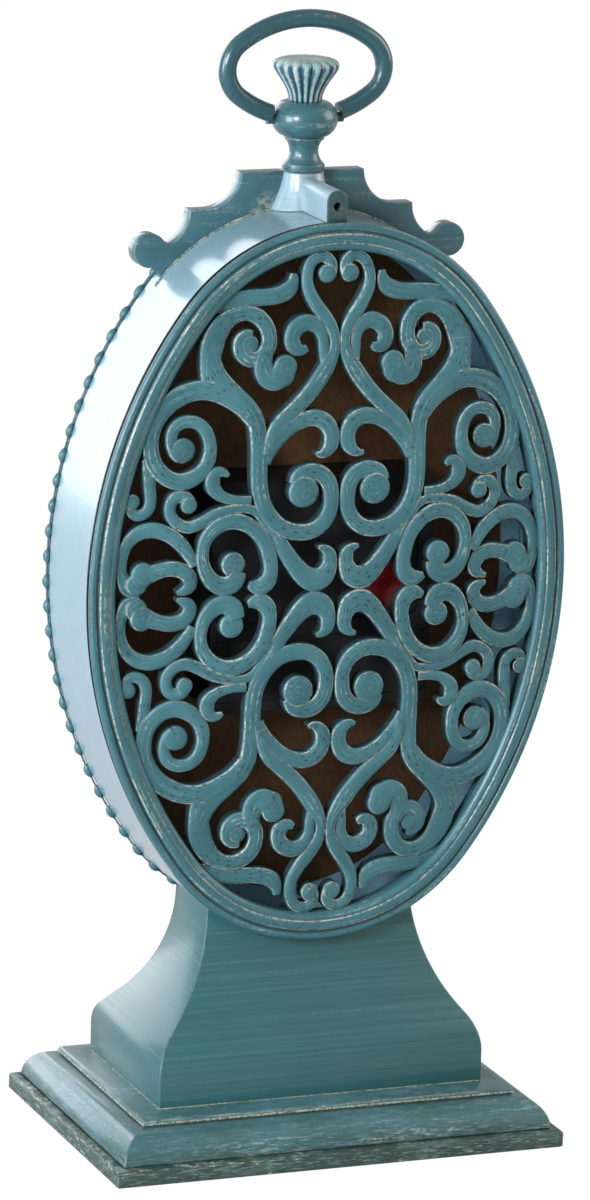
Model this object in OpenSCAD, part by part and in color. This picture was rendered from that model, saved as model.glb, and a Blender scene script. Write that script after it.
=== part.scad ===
// Table clock in the form of an oval pocket watch on a moulded base.
// Z is up, the dial faces -Y and the pierced rear cover faces +Y.
// The origin is the middle of the underside of the base. All sizes are in mm.

/* [Base] */
// Width of the base from side to side
base_w = 114; // [100:1:140]
// Depth of the base from front to back
base_d = 81; // [72:1:110]
// Thickness of the square-edged slab at the bottom
slab_h = 4.1; // [3:0.1:8]
// Flat left on the slab in front of the round moulding
slab_step = 2.2; // [1:0.1:4]
// Radius of the convex moulding above the slab
ovolo_r = 7.4; // [5:0.1:9]
// Height of the small upright fillet above the moulding
fillet_h = 2.1; // [1:0.1:4]

/* [Pedestal] */
// Width of the pedestal at its foot
pedestal_w = 82.8; // [70:0.2:94]
// Depth of the pedestal at its foot
pedestal_d = 49.8; // [44:0.2:60]
// Height of the upright band at the foot
band_h = 7.4; // [4:0.1:12]
// Shoulder radius of the left and right sides
side_shoulder_r = 14; // [10:0.5:18]
// Hollow radius of the left and right sides
side_hollow_r = 46; // [38:1:60]
// Slope where hollow and shoulder meet, left and right, in degrees
side_slope = 42; // [36:1:48]
// Shoulder radius of the rear side
rear_shoulder_r = 14; // [8:0.5:16]
// Hollow radius of the rear side
rear_hollow_r = 110; // [90:5:160]
// Slope where hollow and shoulder meet at the rear, in degrees
rear_slope = 27; // [22:1:30]
// Shoulder radius of the front side
front_shoulder_r = 6; // [4:0.5:10]
// Hollow radius of the front side
front_hollow_r = 34; // [30:1:44]
// Slope where hollow and shoulder meet at the front, in degrees
front_slope = 54; // [48:1:58]

/* [Case] */
// Width of the oval case over its rear rim
case_w = 121; // [110:0.5:140]
// Height of the oval case over its rear rim
case_h = 174.4; // [160:0.2:200]
// Height of the lowest point of the rim above the table
case_lift = 50.9; // [46:0.1:60]
// Depth of the sheet wall from its front edge to its rear edge
wall_d = 27.6; // [24:0.2:36]
// Distance of the wall's front edge in front of the origin
wall_front = 9.2; // [8:0.1:9.6]
// Thickness of the sheet wall
wall_t = 1.2; // [0.8:0.1:2]
// How far the wall lies inside the rim's outline
wall_inset = 0.6; // [0.3:0.1:1.2]

/* [Front] */
// Depth of the front bezel in front of the wall
bezel_d = 6.8; // [6.5:0.1:9]
// Radius of the bezel's rounded front edge
bezel_round_r = 3.8; // [3:0.1:4.2]
// Inset of the sight opening from the rim's outline
sight_inset = 11.3; // [10.8:0.1:14]
// Thickness of the glass
glass_t = 1.6; // [1.2:0.1:2]
// Thickness of the board that carries dial and movement
board_t = 3; // [2.5:0.1:3.4]
// Thickness of the dial sheet
dial_t = 0.4; // [0.3:0.1:0.8]
// Number of beads round the front edge
bead_count = 76; // [60:4:84]
// Length of one bead
bead_l = 3.9; // [3:0.1:4.4]
// Greatest diameter of one bead
bead_w = 2.2; // [1.6:0.1:2.3]

/* [Rear cover] */
// Width of the moulded rim
rim_w = 6.9; // [6.4:0.1:9]
// Thickness of the moulded rim
rim_t = 2.6; // [2.4:0.1:4]
// Shadow gap between rim and wall
rim_gap = 0.5; // [0.3:0.1:1]
// Length of the spigot that enters the wall
spigot_l = 4.5; // [3:0.1:6]
// Running gap between spigot and wall
spigot_gap = 0.3; // [0.2:0.05:0.5]
// Rise of the domed grille from its edge to its middle
dome_h = 6; // [3:0.1:8]
// Thickness of the grille's bars
bar_t = 3.2; // [2.4:0.1:4]

/* [Movement] */
// Width and height of the movement case
move_w = 56; // [56:0.1:56]
// Depth of the movement case
move_d = 16; // [15:0.1:16.6]
// Radius of the setting knob
knob_r = 5.5; // [4:0.1:6.5]
// Length of the minute hand from the arbor
minute_l = 40; // [30:1:46]
// Length of the hour hand from the arbor
hour_l = 28; // [20:1:34]

/* [Top] */
// Half the width of the pediment's flat top
ped_top = 15.6; // [13:0.1:20]
// Radius of the upper hollow of the pediment
cove_r = 8.5; // [6:0.1:9]
// Width of the pediment's step between its hollows
ped_step = 4.2; // [3:0.1:6]
// Thickness of the pediment board
ped_t = 4.3; // [3:0.1:4.4]
// Height of the pediment's flat top above the case
ped_rise = 7.9; // [6:0.1:11]
// Radius of the disc at each end of the pediment
ear_r = 4.1; // [3:0.1:5]
// Width of the boss behind the pediment
boss_w = 5.3; // [4.6:0.1:7]
// Radius of the screw hole in the boss
boss_bore_r = 1; // [0.8:0.05:1.3]
// Greatest radius of the finial's ball
ball_r = 7.9; // [7:0.1:9]
// Height of the finial's ball
ball_h = 8.3; // [7:0.1:9]
// Height of the neck under the ball
neck_h = 8.2; // [6:0.1:12]
// Greatest radius of the fluted crown
crown_r = 8; // [6:0.1:9]
// Height of the fluted crown
crown_h = 10.2; // [8:0.1:11]
// Number of ribs round the crown
crown_ribs = 18; // [12:2:24]
// Width of the bow over its bar
bow_w = 43.8; // [40:0.2:52]
// Height of the bow over its bar
bow_h = 28; // [26:0.2:34]
// Diameter of the bow's bar
bow_bar = 4.3; // [3:0.1:5]

/* [Hidden] */
$fn = 96;
eps = 0.01;
// clearances
seat_gap = 0.1;
fit_gap = 0.05;
loose_gap = 0.3;

// base and pedestal
plinth_h = slab_h + ovolo_r + fillet_h;
fillet_in = slab_step + ovolo_r;
shoulder_z = plinth_h + band_h;

// the oval of four arcs: end circles at (0, +-oval_k), side arcs centred at (-+oval_h, 0),
// which meet on the long sides of 3-4-5 triangles
case_a = case_w / 2;
case_b = case_h / 2;
oval_t = (case_b - case_a) / 2;
oval_k = 3 * oval_t;
oval_h = 4 * oval_t;
end_r = case_b - oval_k;
side_r = end_r + 5 * oval_t;
end_angle = atan2(4, 3);
wedge_x = 240;
wedge_y = 180;
case_z = case_lift + case_b;
case_top = case_lift + case_h;

// depths, from the front of the clock to its rear
wall_y0 = -wall_front;
wall_y1 = wall_y0 + wall_d;
bezel_y = wall_y0 - bezel_d;
board_back = -3.1;
board_y = board_back - board_t;
dial_y = board_y - dial_t;
lip_t = 1.8;
glass_back = bezel_y + lip_t + seat_gap + glass_t;
rim_y = wall_y1 + rim_gap;
rim_face = rim_y + rim_t;
bar_edge_y = rim_face - 1.6;

// insets from the rim's outline
wall_in = wall_inset + wall_t;
bead_seat = 1.6;
pocket_in = 6.9;
ledge_in = 9.3;
bead_in = bead_seat - bead_w / 2 - seat_gap;
bead_y = wall_y0 - bead_w / 2 - seat_gap;

// movement
move_x = -1;
move_z = case_z - 3.6;
move_back = board_back + move_d;
move_split = board_back + 4;
bush_r = 4;
hour_tube_r = 2.5;
minute_pin_r = 1.7;
washer_t = 0.5;
nut_t = 1.3;
hand_t = 0.4;
nut_front = dial_y - washer_t - nut_t;
bush_front = nut_front - 0.3;
hour_y = bush_front - loose_gap;
minute_y = hour_y - hand_t - 0.6;
cap_h = 0.9;
arbor_end = board_back + 3.2;
cell_r = 7.1;
cell_l = 49;
bay_w = 53;
bay_h = 2 * cell_r + 1;
bay_y = board_back + 0.7;
door_t = 1.2;
door_y = move_back - door_t;
bay_z = move_z - move_w / 2 + 2.5 + bay_h / 2;
cell_y = (bay_y + door_y) / 2;
knob_x = -15.8;
knob_z = case_z - 1.6;
knob_t = 3;
knob_y = move_back + loose_gap;

// top
top_y = -4.7;
ped_back = -4.65;
ped_top_z = case_top + ped_rise;
ped_step_z = ped_top_z - cove_r;
ped_step_x = ped_top + cove_r + ped_step;
ear_x = ped_step_x + 9.5;
ear_z = ped_step_z - 9.4;
low_cove_r = 8.2;
notch_w = 9.2;
boss_y1 = wall_y1 - 0.2;
boss_bore_z = case_top + 3.1;
boss_top_z = case_top + 7;
neck_z = ped_top_z + seat_gap;
ball_z = neck_z + neck_h + seat_gap + ball_h / 2;
crown_z = ball_z + ball_h / 2 + seat_gap;
stud_r = 1.5;
pin_r = 1.2;
bow_a = (bow_w - bow_bar) / 2;
bow_b = (bow_h - bow_bar) / 2;
bow_z = ball_z + bow_b;
bow_t = (bow_a - bow_b) / 2;
bow_cut = ball_r + loose_gap;

// screws
foot_screw_x = 22;
foot_screw_r = 2;
foot_screw_l = case_lift / 2;
foot_tip_l = 2 * foot_screw_r;
foot_head_r = 4;
foot_head_h = 2;
foot_seat_z = 4;
foot_head_z = foot_seat_z - seat_gap - foot_head_h;
drum_screw_r = 1.6;
drum_screw_l = case_lift * 0.24;
drum_tip_l = 2 * drum_screw_r;
drum_screw_y = [1.5, 11];
board_screw_r = 0.8;
board_screw_in = 8.2;

// shared shapes

// the filled oval, shrunk evenly by d
module oval(d = 0) {
    r = end_r - d;
    join_z = oval_k + 0.6 * r;
    join_x = 0.8 * r;
    intersection() {
        translate([-oval_h, 0]) circle(side_r - d);
        translate([oval_h, 0]) circle(side_r - d);
        square([case_w, 2 * join_z], center = true);
    }
    for (s = [1, -1]) intersection() {
        translate([0, s * oval_k]) circle(r);
        translate([0, s * (join_z + r)]) square([3 * join_x, 2 * r], center = true);
    }
}

// turns a flat drawing to stand upright at the middle of the case, with its depth along +Y
module upright(y = 0) translate([0, y, case_z]) rotate([-90, 0, 0]) children();

module oval_plate(y0, y1, d) upright(y0) linear_extrude(y1 - y0) oval(d);

// sweeps a profile round an oval whose arcs meet on 3-4-5 triangles of unit t: end circles of
// radius r at (0, +-3t) and side circles at (-+4t, 0). The profile's x is the distance out from
// the oval's outline, its y is the depth.
module sweep_345(t, r) for (s = [-1, 1]) {
    intersection() {
        translate([0, 3 * s * t, 0]) rotate_extrude() translate([r, 0]) children();
        wedge() polygon([
            [0, 3 * s * t], [wedge_x, s * (3 * t + wedge_y)], [-wedge_x, s * (3 * t + wedge_y)]
        ]);
    }
    intersection() {
        translate([-4 * s * t, 0, 0]) rotate_extrude() translate([r + 5 * t, 0]) children();
        wedge() polygon([
            [-4 * s * t, 0], [s * (wedge_x - 4 * t), wedge_y], [s * (wedge_x - 4 * t), -wedge_y]
        ]);
    }
}
module wedge() translate([0, 0, -50]) linear_extrude(100) children();

module oval_sweep() upright() sweep_345(oval_t, end_r) children();

module rounded(w, h, r) {
    square([w - 2 * r, h], center = true);
    for (x = [-1, 1]) {
        translate([x * (w / 2 - r / 2), 0]) square([r, h - 2 * r], center = true);
        for (z = [-1, 1]) translate([x * (w / 2 - r), z * (h / 2 - r)]) intersection() {
            circle(r);
            translate([x * r / 2, z * r / 2]) square(r, center = true);
        }
    }
}

// a bar along the Y axis with a round section
module rod_y(r, y0, y1, x = 0, z = 0) translate([x, y0, z]) rotate([-90, 0, 0]) cylinder(r = r, h = y1 - y0);

// base

// half of the plinth's outline for one direction, as half widths over height
module plinth_profile(w) {
    half = w / 2;
    translate([-half, 0]) square([w, slab_h]);
    translate([-(half - fillet_in), 0]) square([w - 2 * fillet_in, plinth_h]);
    for (s = [-1, 1]) intersection() {
        translate([s * (half - fillet_in), slab_h]) circle(ovolo_r);
        translate([s * (half - fillet_in + ovolo_r / 2), slab_h + ovolo_r / 2]) square(ovolo_r, center = true);
    }
}

module base_plinth() color("#4f8590") difference() {
    intersection() {
        translate([0, base_d / 2, 0]) rotate([90, 0, 0]) linear_extrude(base_d) plinth_profile(base_w);
        translate([-base_w / 2, 0, 0]) rotate([90, 0, 90]) linear_extrude(base_w) plinth_profile(base_d);
    }
    for (s = [-1, 1]) translate([s * foot_screw_x, 0, -1]) {
        cylinder(r = foot_screw_r + seat_gap, h = plinth_h + 2);
        cylinder(r = foot_head_r + 0.4, h = foot_seat_z + 1);
    }
}

// one side of the pedestal: an upright band, a rounded shoulder and a long hollow
module flare(half, shoulder, hollow, slope) {
    top = case_z - case_b * 0.82;
    cx = half - shoulder;
    reach = shoulder + hollow - 0.05;
    edge = [cx + (shoulder + 3) * cos(slope), shoulder_z + (shoulder + 3) * sin(slope)];
    difference() {
        union() {
            polygon([
                [0, plinth_h], [half, plinth_h], [half, shoulder_z], [cx, shoulder_z],
                edge, [edge[0], top], [0, top]
            ]);
            intersection() {
                translate([cx, shoulder_z]) circle(shoulder);
                translate([cx - shoulder - 1, shoulder_z]) square([2 * shoulder + 2, shoulder + 1]);
            }
        }
        translate([cx + reach * cos(slope), shoulder_z + reach * sin(slope)]) circle(hollow);
    }
}

module pedestal() color("#4f8590") difference() {
    intersection() {
        translate([0, base_d / 2, 0]) rotate([90, 0, 0]) linear_extrude(base_d)
            for (s = [0, 1]) mirror([s, 0])
            flare(pedestal_w / 2, side_shoulder_r, side_hollow_r, side_slope);
        translate([-base_w / 2, 0, 0]) rotate([90, 0, 90]) linear_extrude(base_w) {
            flare(pedestal_d / 2, rear_shoulder_r, rear_hollow_r, rear_slope);
            mirror([1, 0]) flare(pedestal_d / 2, front_shoulder_r, front_hollow_r, front_slope);
        }
    }
    oval_plate(-base_d / 2, base_d / 2, wall_inset - seat_gap);
    for (s = [-1, 1]) translate([s * foot_screw_x, 0, 0])
        cylinder(r = foot_screw_r + seat_gap, h = foot_head_z + foot_screw_l + foot_tip_l + 2);
    for (y = drum_screw_y) translate([0, y, case_lift - drum_screw_l - drum_tip_l])
        cylinder(r = drum_screw_r + seat_gap, h = drum_screw_l + drum_tip_l + 4);
}

module pedestal_screws() color("#8a8d8f") for (s = [-1, 1]) translate([s * foot_screw_x, 0, 0]) difference() {
    union() {
        translate([0, 0, foot_head_z]) cylinder(r = foot_head_r, h = foot_head_h);
        translate([0, 0, foot_head_z]) cylinder(r = foot_screw_r, h = foot_screw_l);
        translate([0, 0, foot_head_z + foot_screw_l]) cylinder(r1 = foot_screw_r, r2 = 0.4, h = foot_tip_l);
    }
    for (a = [0, 90]) translate([0, 0, foot_head_z]) rotate(a) cube([4, 0.9, 2], center = true);
}

// case

module drum_shell() color("#9fc0cc") difference() {
    upright(wall_y0) linear_extrude(wall_d) difference() {
        oval(wall_inset);
        oval(wall_in);
    }
    for (y = drum_screw_y) translate([0, y, case_lift - 2]) cylinder(r = drum_screw_r + seat_gap, h = 6);
}

module drum_screws() color("#8a8d8f")
    for (y = drum_screw_y) translate([0, y, case_lift + wall_in + 0.15]) difference() {
    union() {
        translate([0, 0, -drum_screw_l]) cylinder(r = drum_screw_r, h = drum_screw_l);
        cylinder(r = 3, h = 0.8);
        translate([0, 0, 0.8]) cylinder(r1 = 3, r2 = 2.2, h = 0.9);
        translate([0, 0, -drum_screw_l - drum_tip_l]) cylinder(r1 = 0.3, r2 = drum_screw_r, h = drum_tip_l);
    }
    for (a = [0, 90]) translate([0, 0, 1.7]) rotate(a) cube([3, 0.7, 1.6], center = true);
}

module front_bezel() color("#4f8590") difference() {
    oval_sweep() {
        polygon([
            [-wall_in - seat_gap, board_back], [-pocket_in, board_back], [-pocket_in, dial_y - seat_gap],
            [-ledge_in, dial_y - seat_gap], [-ledge_in, bezel_y + lip_t], [-sight_inset, bezel_y + lip_t],
            [-sight_inset, bezel_y + 0.8], [-sight_inset + 0.8, bezel_y], [-1.2 - bezel_round_r, bezel_y],
            [-1.2 - bezel_round_r, bezel_y + bezel_round_r], [-1.2, bezel_y + bezel_round_r],
            [-1.2, bead_y - bead_w / 2 - seat_gap], [-bead_seat, bead_y - bead_w / 2 - seat_gap],
            [-bead_seat, wall_y0 - seat_gap], [-wall_in - seat_gap, wall_y0 - seat_gap]
        ]);
        intersection() {
            translate([-1.2 - bezel_round_r, bezel_y + bezel_round_r]) circle(bezel_round_r);
            translate([-1.2 - bezel_round_r, bezel_y]) square(bezel_round_r);
        }
    }
    board_screw_places() rod_y(board_screw_r + seat_gap, dial_y - 3.6, board_back);
}

// spindle beads on a fine wire, spaced evenly along the oval's four arcs
function oval_length(d) = 4 * PI / 180 * (end_angle * (end_r - d) + (90 - end_angle) * (side_r - d));
// place and heading at a run s along a quarter of the oval, from the side towards the top
function quarter_point(s, d) =
    let (side_run = (90 - end_angle) * PI / 180 * (side_r - d))
    s < side_run
        ? let (a = s / (side_r - d) * 180 / PI) [(side_r - d) * cos(a) - oval_h, (side_r - d) * sin(a), a]
        : let (a = 90 - end_angle + (s - side_run) / (end_r - d) * 180 / PI)
            [(end_r - d) * cos(a), oval_k + (end_r - d) * sin(a), a];

module bead(pitch) rotate_extrude() {
    lens_r = (pow(bead_l, 2) + pow(bead_w, 2)) / (4 * bead_w);
    intersection() {
        translate([bead_w / 2 - lens_r, 0]) circle(lens_r);
        translate([0, -bead_l / 2]) square(bead_l);
    }
    translate([0, -pitch / 2 + eps]) square([0.25, pitch - 2 * eps]);
}

module bead_trim() color("#5d97a3") {
    per_quarter = bead_count / 4;
    pitch = oval_length(bead_in) / bead_count;
    for (mx = [0, 1], mz = [0, 1], i = [0 : per_quarter - 1]) {
        p = quarter_point((i + 0.5) * pitch, bead_in);
        upright(bead_y) mirror([mx, 0, 0]) mirror([0, mz, 0]) translate([p[0], p[1], 0]) rotate(p[2])
            rotate([-90, 0, 0]) bead(pitch - 0.06);
    }
}

module board_screw_places() for (p = [[case_a, 0], [-case_a, 0], [0, case_b], [0, -case_b]])
    translate([p[0] - sign(p[0]) * board_screw_in, 0, case_z + p[1] - sign(p[1]) * board_screw_in])
        children();

module dial_glass() color("#cfe0e4") oval_plate(glass_back - glass_t, glass_back, ledge_in + seat_gap);

module glass_spacer() color("#e8e4d8") upright(glass_back + seat_gap)
    linear_extrude(dial_y - glass_back - 2 * seat_gap) difference() {
    oval(ledge_in + seat_gap);
    oval(ledge_in + 1);
}

module dial_face() color("#efe9d6") difference() {
    oval_plate(dial_y, board_y, pocket_in + 0.2);
    rod_y(bush_r + seat_gap, dial_y - 1, board_back, 0, case_z);
    board_screw_places() rod_y(board_screw_r + seat_gap, dial_y - 1, board_back);
}

module dial_board() color("#5a4231") difference() {
    oval_plate(board_y, board_back, pocket_in + 0.2);
    rod_y(bush_r + seat_gap, board_y - 1, board_back + 1, 0, case_z);
    board_screw_places() rod_y(board_screw_r + seat_gap, board_y - 1, board_back + 1);
}

module board_screws() color("#b79a58") board_screw_places() difference() {
    union() {
        rod_y(board_screw_r, dial_y - 3, board_back + 0.1);
        translate([0, board_back + 0.05, 0]) rotate([-90, 0, 0]) cylinder(r1 = 1.7, r2 = 1.2, h = 0.8);
    }
    translate([0, board_back + 0.85, 0]) cube([2.6, 0.6, 0.4], center = true);
}

// movement

module movement_front_case() color("#1d1e20") difference() {
    union() {
        translate([move_x, board_back + eps, move_z]) rotate([-90, 0, 0])
            linear_extrude(move_split - board_back - eps) rounded(move_w, move_w, 3);
        rod_y(bush_r, bush_front, board_back + 1, 0, case_z);
    }
    rod_y(hour_tube_r + fit_gap, bush_front - 1, arbor_end + 0.3, 0, case_z);
    translate([move_x - bay_w / 2, bay_y, bay_z - bay_h / 2]) cube([bay_w, move_d, bay_h]);
}

module movement_rear_case() color("#1d1e20") difference() {
    translate([move_x, move_split, move_z]) rotate([-90, 0, 0])
        linear_extrude(move_back - move_split) rounded(move_w, move_w, 3);
    translate([move_x - bay_w / 2, bay_y, bay_z - bay_h / 2]) cube([bay_w, move_d, bay_h]);
    rod_y(1 + fit_gap, move_back - 5, move_back + 1, knob_x, knob_z);
    // shallow sunk panel round the knob and the latch notches at the sides
    translate([move_x, move_back - 0.6, move_z + 9]) rotate([-90, 0, 0]) linear_extrude(2) rounded(49, 31, 2);
    for (s = [-1, 1]) translate([move_x + s * move_w / 2, move_split + 3, move_z + 12])
        cube([2, 6, 7], center = true);
}

module battery() color("#3d4247") translate([move_x - cell_l / 2, cell_y, bay_z]) rotate([0, 90, 0]) {
    cylinder(r = cell_r, h = cell_l);
    translate([0, 0, cell_l - eps]) cylinder(r = 2.7, h = 1.2);
}

module battery_contacts() color("#c9ccce") for (s = [-1, 1]) {
    translate([move_x + s * (bay_w / 2 - 0.3), cell_y, bay_z]) cube([0.4, 8, 9], center = true);
    translate([move_x + s * (bay_w / 2 - 0.3), cell_y, bay_z + 4]) cube([0.4, 3, 5], center = true);
}

module battery_cover() color("#1a1b1d") difference() {
    translate([move_x, door_y + seat_gap, bay_z]) rotate([-90, 0, 0])
        linear_extrude(door_t - seat_gap) rounded(bay_w - 2 * seat_gap, bay_h - 2 * seat_gap, 1);
    for (i = [-2 : 2]) translate([move_x + 20 + i * 1.5, move_back, bay_z]) cube([0.6, 0.6, 9], center = true);
}

module setting_knob() color("#9c2f35") {
    difference() {
        rod_y(knob_r, knob_y, knob_y + knob_t, knob_x, knob_z);
        rod_y(1.1, knob_y + knob_t - 0.5, knob_y + knob_t + 1, knob_x, knob_z);
        for (a = [0 : 15 : 345]) translate([knob_x, knob_y + knob_t / 2, knob_z]) rotate([0, a, 0])
            translate([knob_r + 0.15, 0, 0]) cube([0.8, knob_t + 1, 0.6], center = true);
    }
    rod_y(1, move_back - 4.6, knob_y + 1, knob_x, knob_z);
}

module bushing_washer() color("#b79a58") difference() {
    rod_y(7, dial_y - washer_t, dial_y - eps, 0, case_z);
    rod_y(bush_r + fit_gap, dial_y - 2, dial_y + 1, 0, case_z);
}

module bushing_nut() color("#b79a58") difference() {
    translate([0, nut_front, case_z]) rotate([-90, 0, 0]) cylinder(r = 6.9, h = nut_t - eps, $fn = 6);
    rod_y(bush_r + fit_gap, nut_front - 1, dial_y, 0, case_z);
}

// flat outline of a spade hand of length l, pointing up
module spade(l, w) {
    circle(w * 1.5);
    translate([-w / 2, 0]) square([w, l * 0.72]);
    translate([0, l * 0.6]) circle(w);
    difference() {
        union() {
            for (s = [-1, 1]) translate([s * w * 0.95, l * 0.76]) circle(w * 1.15);
            polygon([[-w * 1.9, l * 0.79], [w * 1.9, l * 0.79], [0, l]]);
        }
        translate([0, l * 0.79]) circle(w * 0.55);
    }
}

module hand_plate(y, l, w, turn)
    translate([0, y, case_z]) rotate([0, turn, 0]) rotate([90, 0, 0]) linear_extrude(hand_t) spade(l, w);

module hour_hand() color("#20242a") difference() {
    union() {
        hand_plate(hour_y, hour_l, 2.3, -60);
        rod_y(hour_tube_r, hour_y - hand_t + eps, arbor_end, 0, case_z);
    }
    rod_y(minute_pin_r + fit_gap, minute_y - 1, arbor_end + 1, 0, case_z);
}

module minute_hand() color("#20242a") {
    hand_plate(minute_y, minute_l, 1.8, 60);
    rod_y(minute_pin_r, minute_y - hand_t + eps, arbor_end, 0, case_z);
}

module hand_nut() color("#b79a58") {
    rod_y(2.1, minute_y - hand_t - cap_h, minute_y - hand_t, 0, case_z);
}

// top

module pediment() color("#4f8590") translate([0, ped_back, 0]) rotate([90, 0, 0])
    linear_extrude(ped_t) difference() {
    for (s = [0, 1]) mirror([s, 0]) {
        difference() {
            polygon([
                [0, case_z], [ear_x - 1.2, case_z], [ear_x - 1.2, ear_z], [ped_step_x + 4, ear_z],
                [ped_step_x + 4, ped_step_z], [ped_top + cove_r, ped_step_z],
                [ped_top + cove_r, ped_top_z], [0, ped_top_z]
            ]);
            translate([ped_top + cove_r, ped_top_z]) circle(cove_r);
            translate([ped_step_x + low_cove_r, ped_step_z - 0.5]) circle(low_cove_r);
        }
        translate([ear_x, ear_z]) circle(ear_r);
    }
    translate([0, case_z]) oval(wall_inset - seat_gap);
    translate([-notch_w / 2, case_top - 2]) square([notch_w, 20]);
}

module rear_boss() color("#a9c9d3") difference() {
    union() {
        // the bar that runs back over the case, with a round top
        translate([-boss_w / 2, top_y, case_top - 2])
            cube([boss_w, boss_y1 - top_y, boss_top_z - boss_w / 2 - case_top + 2]);
        rod_y(boss_w / 2, top_y, boss_y1, 0, boss_top_z - boss_w / 2);
        // the block that fills the notch of the pediment
        translate([-notch_w / 2 + seat_gap, ped_back - ped_t, case_top - 2])
            cube([notch_w - 2 * seat_gap, ped_t + eps, ped_rise + 2]);
        // the flared foot behind the pediment
        intersection() {
            translate([0, top_y, case_top - 3]) cylinder(r1 = 9.5, r2 = 4.8, h = ped_rise + 3);
            translate([-20, ped_back + eps, case_top - 4]) cube([40, 20, 20]);
        }
    }
    oval_plate(wall_y0 - 2, wall_y1 + 2, wall_inset - seat_gap);
    rod_y(boss_bore_r, boss_y1 - 10, boss_y1 + 1, 0, boss_bore_z);
    translate([0, top_y, case_top + 1.2]) cylinder(r = stud_r + seat_gap, h = 20);
}

module around_top(z) translate([0, top_y, z]) rotate_extrude() children();

module finial_neck() color("#4f8590") difference() {
    around_top(neck_z) {
        waist = neck_h - 2.6;
        hollow = (pow(waist / 2, 2) + 1) / 2;
        square([4.3, 2]);
        translate([4.1, 1]) circle(1);
        difference() {
            translate([0, 1.9]) square([4.4, waist + 0.1]);
            translate([3.4 + hollow, 2 + waist / 2]) circle(hollow);
        }
        translate([0, neck_h - 0.7]) square([4.8, 0.7]);
    }
    translate([0, top_y, neck_z - 1]) cylinder(r = stud_r + seat_gap, h = neck_h + 2);
}

module finial_ball() color("#4f8590") difference() {
    around_top(ball_z) {
        belly = 4.6;
        translate([0, -ball_h / 2]) square([ball_r - belly + 1.9, ball_h]);
        intersection() {
            translate([ball_r - belly, 0]) circle(belly);
            translate([0, -ball_h / 2]) square([ball_r + 1, ball_h]);
        }
    }
    translate([0, top_y, ball_z - ball_h]) cylinder(r = stud_r + seat_gap, h = 2 * ball_h);
    for (s = [-1, 1]) translate([s * ball_r, top_y, ball_z]) rotate([0, 90, 0])
        cylinder(r = pin_r + fit_gap, h = 2 * 3.4, center = true);
}

// outline of the crown from its axis outwards, drawn in by inset
module crown_outline(inset) {
    neck_r = 4.1;
    flare_r = 9;
    intersection() {
        square([crown_r - inset, crown_h - inset]);
        translate([0, crown_h - 2.6 * crown_r]) circle(2.6 * crown_r - inset);
        difference() {
            square([crown_r - inset, crown_h]);
            translate([neck_r + flare_r, -0.2]) circle(flare_r + inset);
        }
    }
}

module winding_crown() color("#7fa9ad") difference() {
    union() {
        around_top(crown_z) crown_outline(0.7);
        intersection() {
            around_top(crown_z) crown_outline(0);
            for (i = [0 : crown_ribs - 1]) translate([0, top_y, crown_z]) rotate(i * 360 / crown_ribs)
                translate([3.3, -0.5, 0]) cube([crown_r, 1, crown_h]);
        }
    }
    translate([0, top_y, crown_z - 1]) cylinder(r = stud_r + seat_gap, h = 7);
}

module crown_stud() color("#8a8d8f") translate([0, top_y, case_top + 1.4])
    cylinder(r = stud_r, h = crown_z + 5.8 - case_top - 1.4);

module bow() color("#4f8590") {
    difference() {
        translate([0, top_y, bow_z]) rotate([90, 90, 0])
            sweep_345(bow_t, bow_a - 3 * bow_t) circle(bow_bar / 2);
        translate([-bow_cut, top_y - 5, ball_z - 6]) cube([2 * bow_cut, 10, 12]);
    }
    for (s = [-1, 1]) translate([s * (bow_cut + 0.4 - 1.8), top_y, ball_z]) rotate([0, 90, 0])
        cylinder(r = pin_r, h = 3.6, center = true);
}

// rear cover

module rear_rim() color("#4a7f8b") oval_sweep() translate([0, rim_y]) {
    // flat body with the inner lip that the grille meets
    polygon([
        [-rim_w, -2.4], [-rim_w + 1.1, -2.4], [-rim_w + 1.1, 0], [-0.9, 0], [-0.9, rim_t * 0.5],
        [-2.3, rim_t * 0.5], [-2.6, rim_t * 0.85], [-3.5, rim_t], [-3.75, rim_t - 0.22], [-4.0, rim_t],
        [-rim_w + 1.6, rim_t - 0.1],
        [-rim_w + 1.4, rim_t - 0.35], [-rim_w + 1.1, rim_t - 0.25], [-rim_w, rim_t * 0.6]
    ]);
    // rolled outer edge
    translate([-1.1, 1.2]) circle(1.1);
    // spigot that enters the wall
    translate([-wall_in - spigot_gap - 1.2, -spigot_l]) square([1.2, spigot_l + 0.2]);
}

// The grille is one quarter of scrollwork, mirrored twice. It is drawn on a grid that is
// 50.5 wide and 76.2 high from the middle of the opening to its edge, then fitted to the opening.
open_a = case_a - rim_w;
open_b = case_b - rim_w;
grid_x = open_a / 50.5;
grid_z = open_b / 76.2;
// the bars' widths grow with the opening; they are drawn at a real size when it is 53.6 by 80.3
bar_scale = max(open_a / 53.6, open_b / 80.3);
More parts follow.
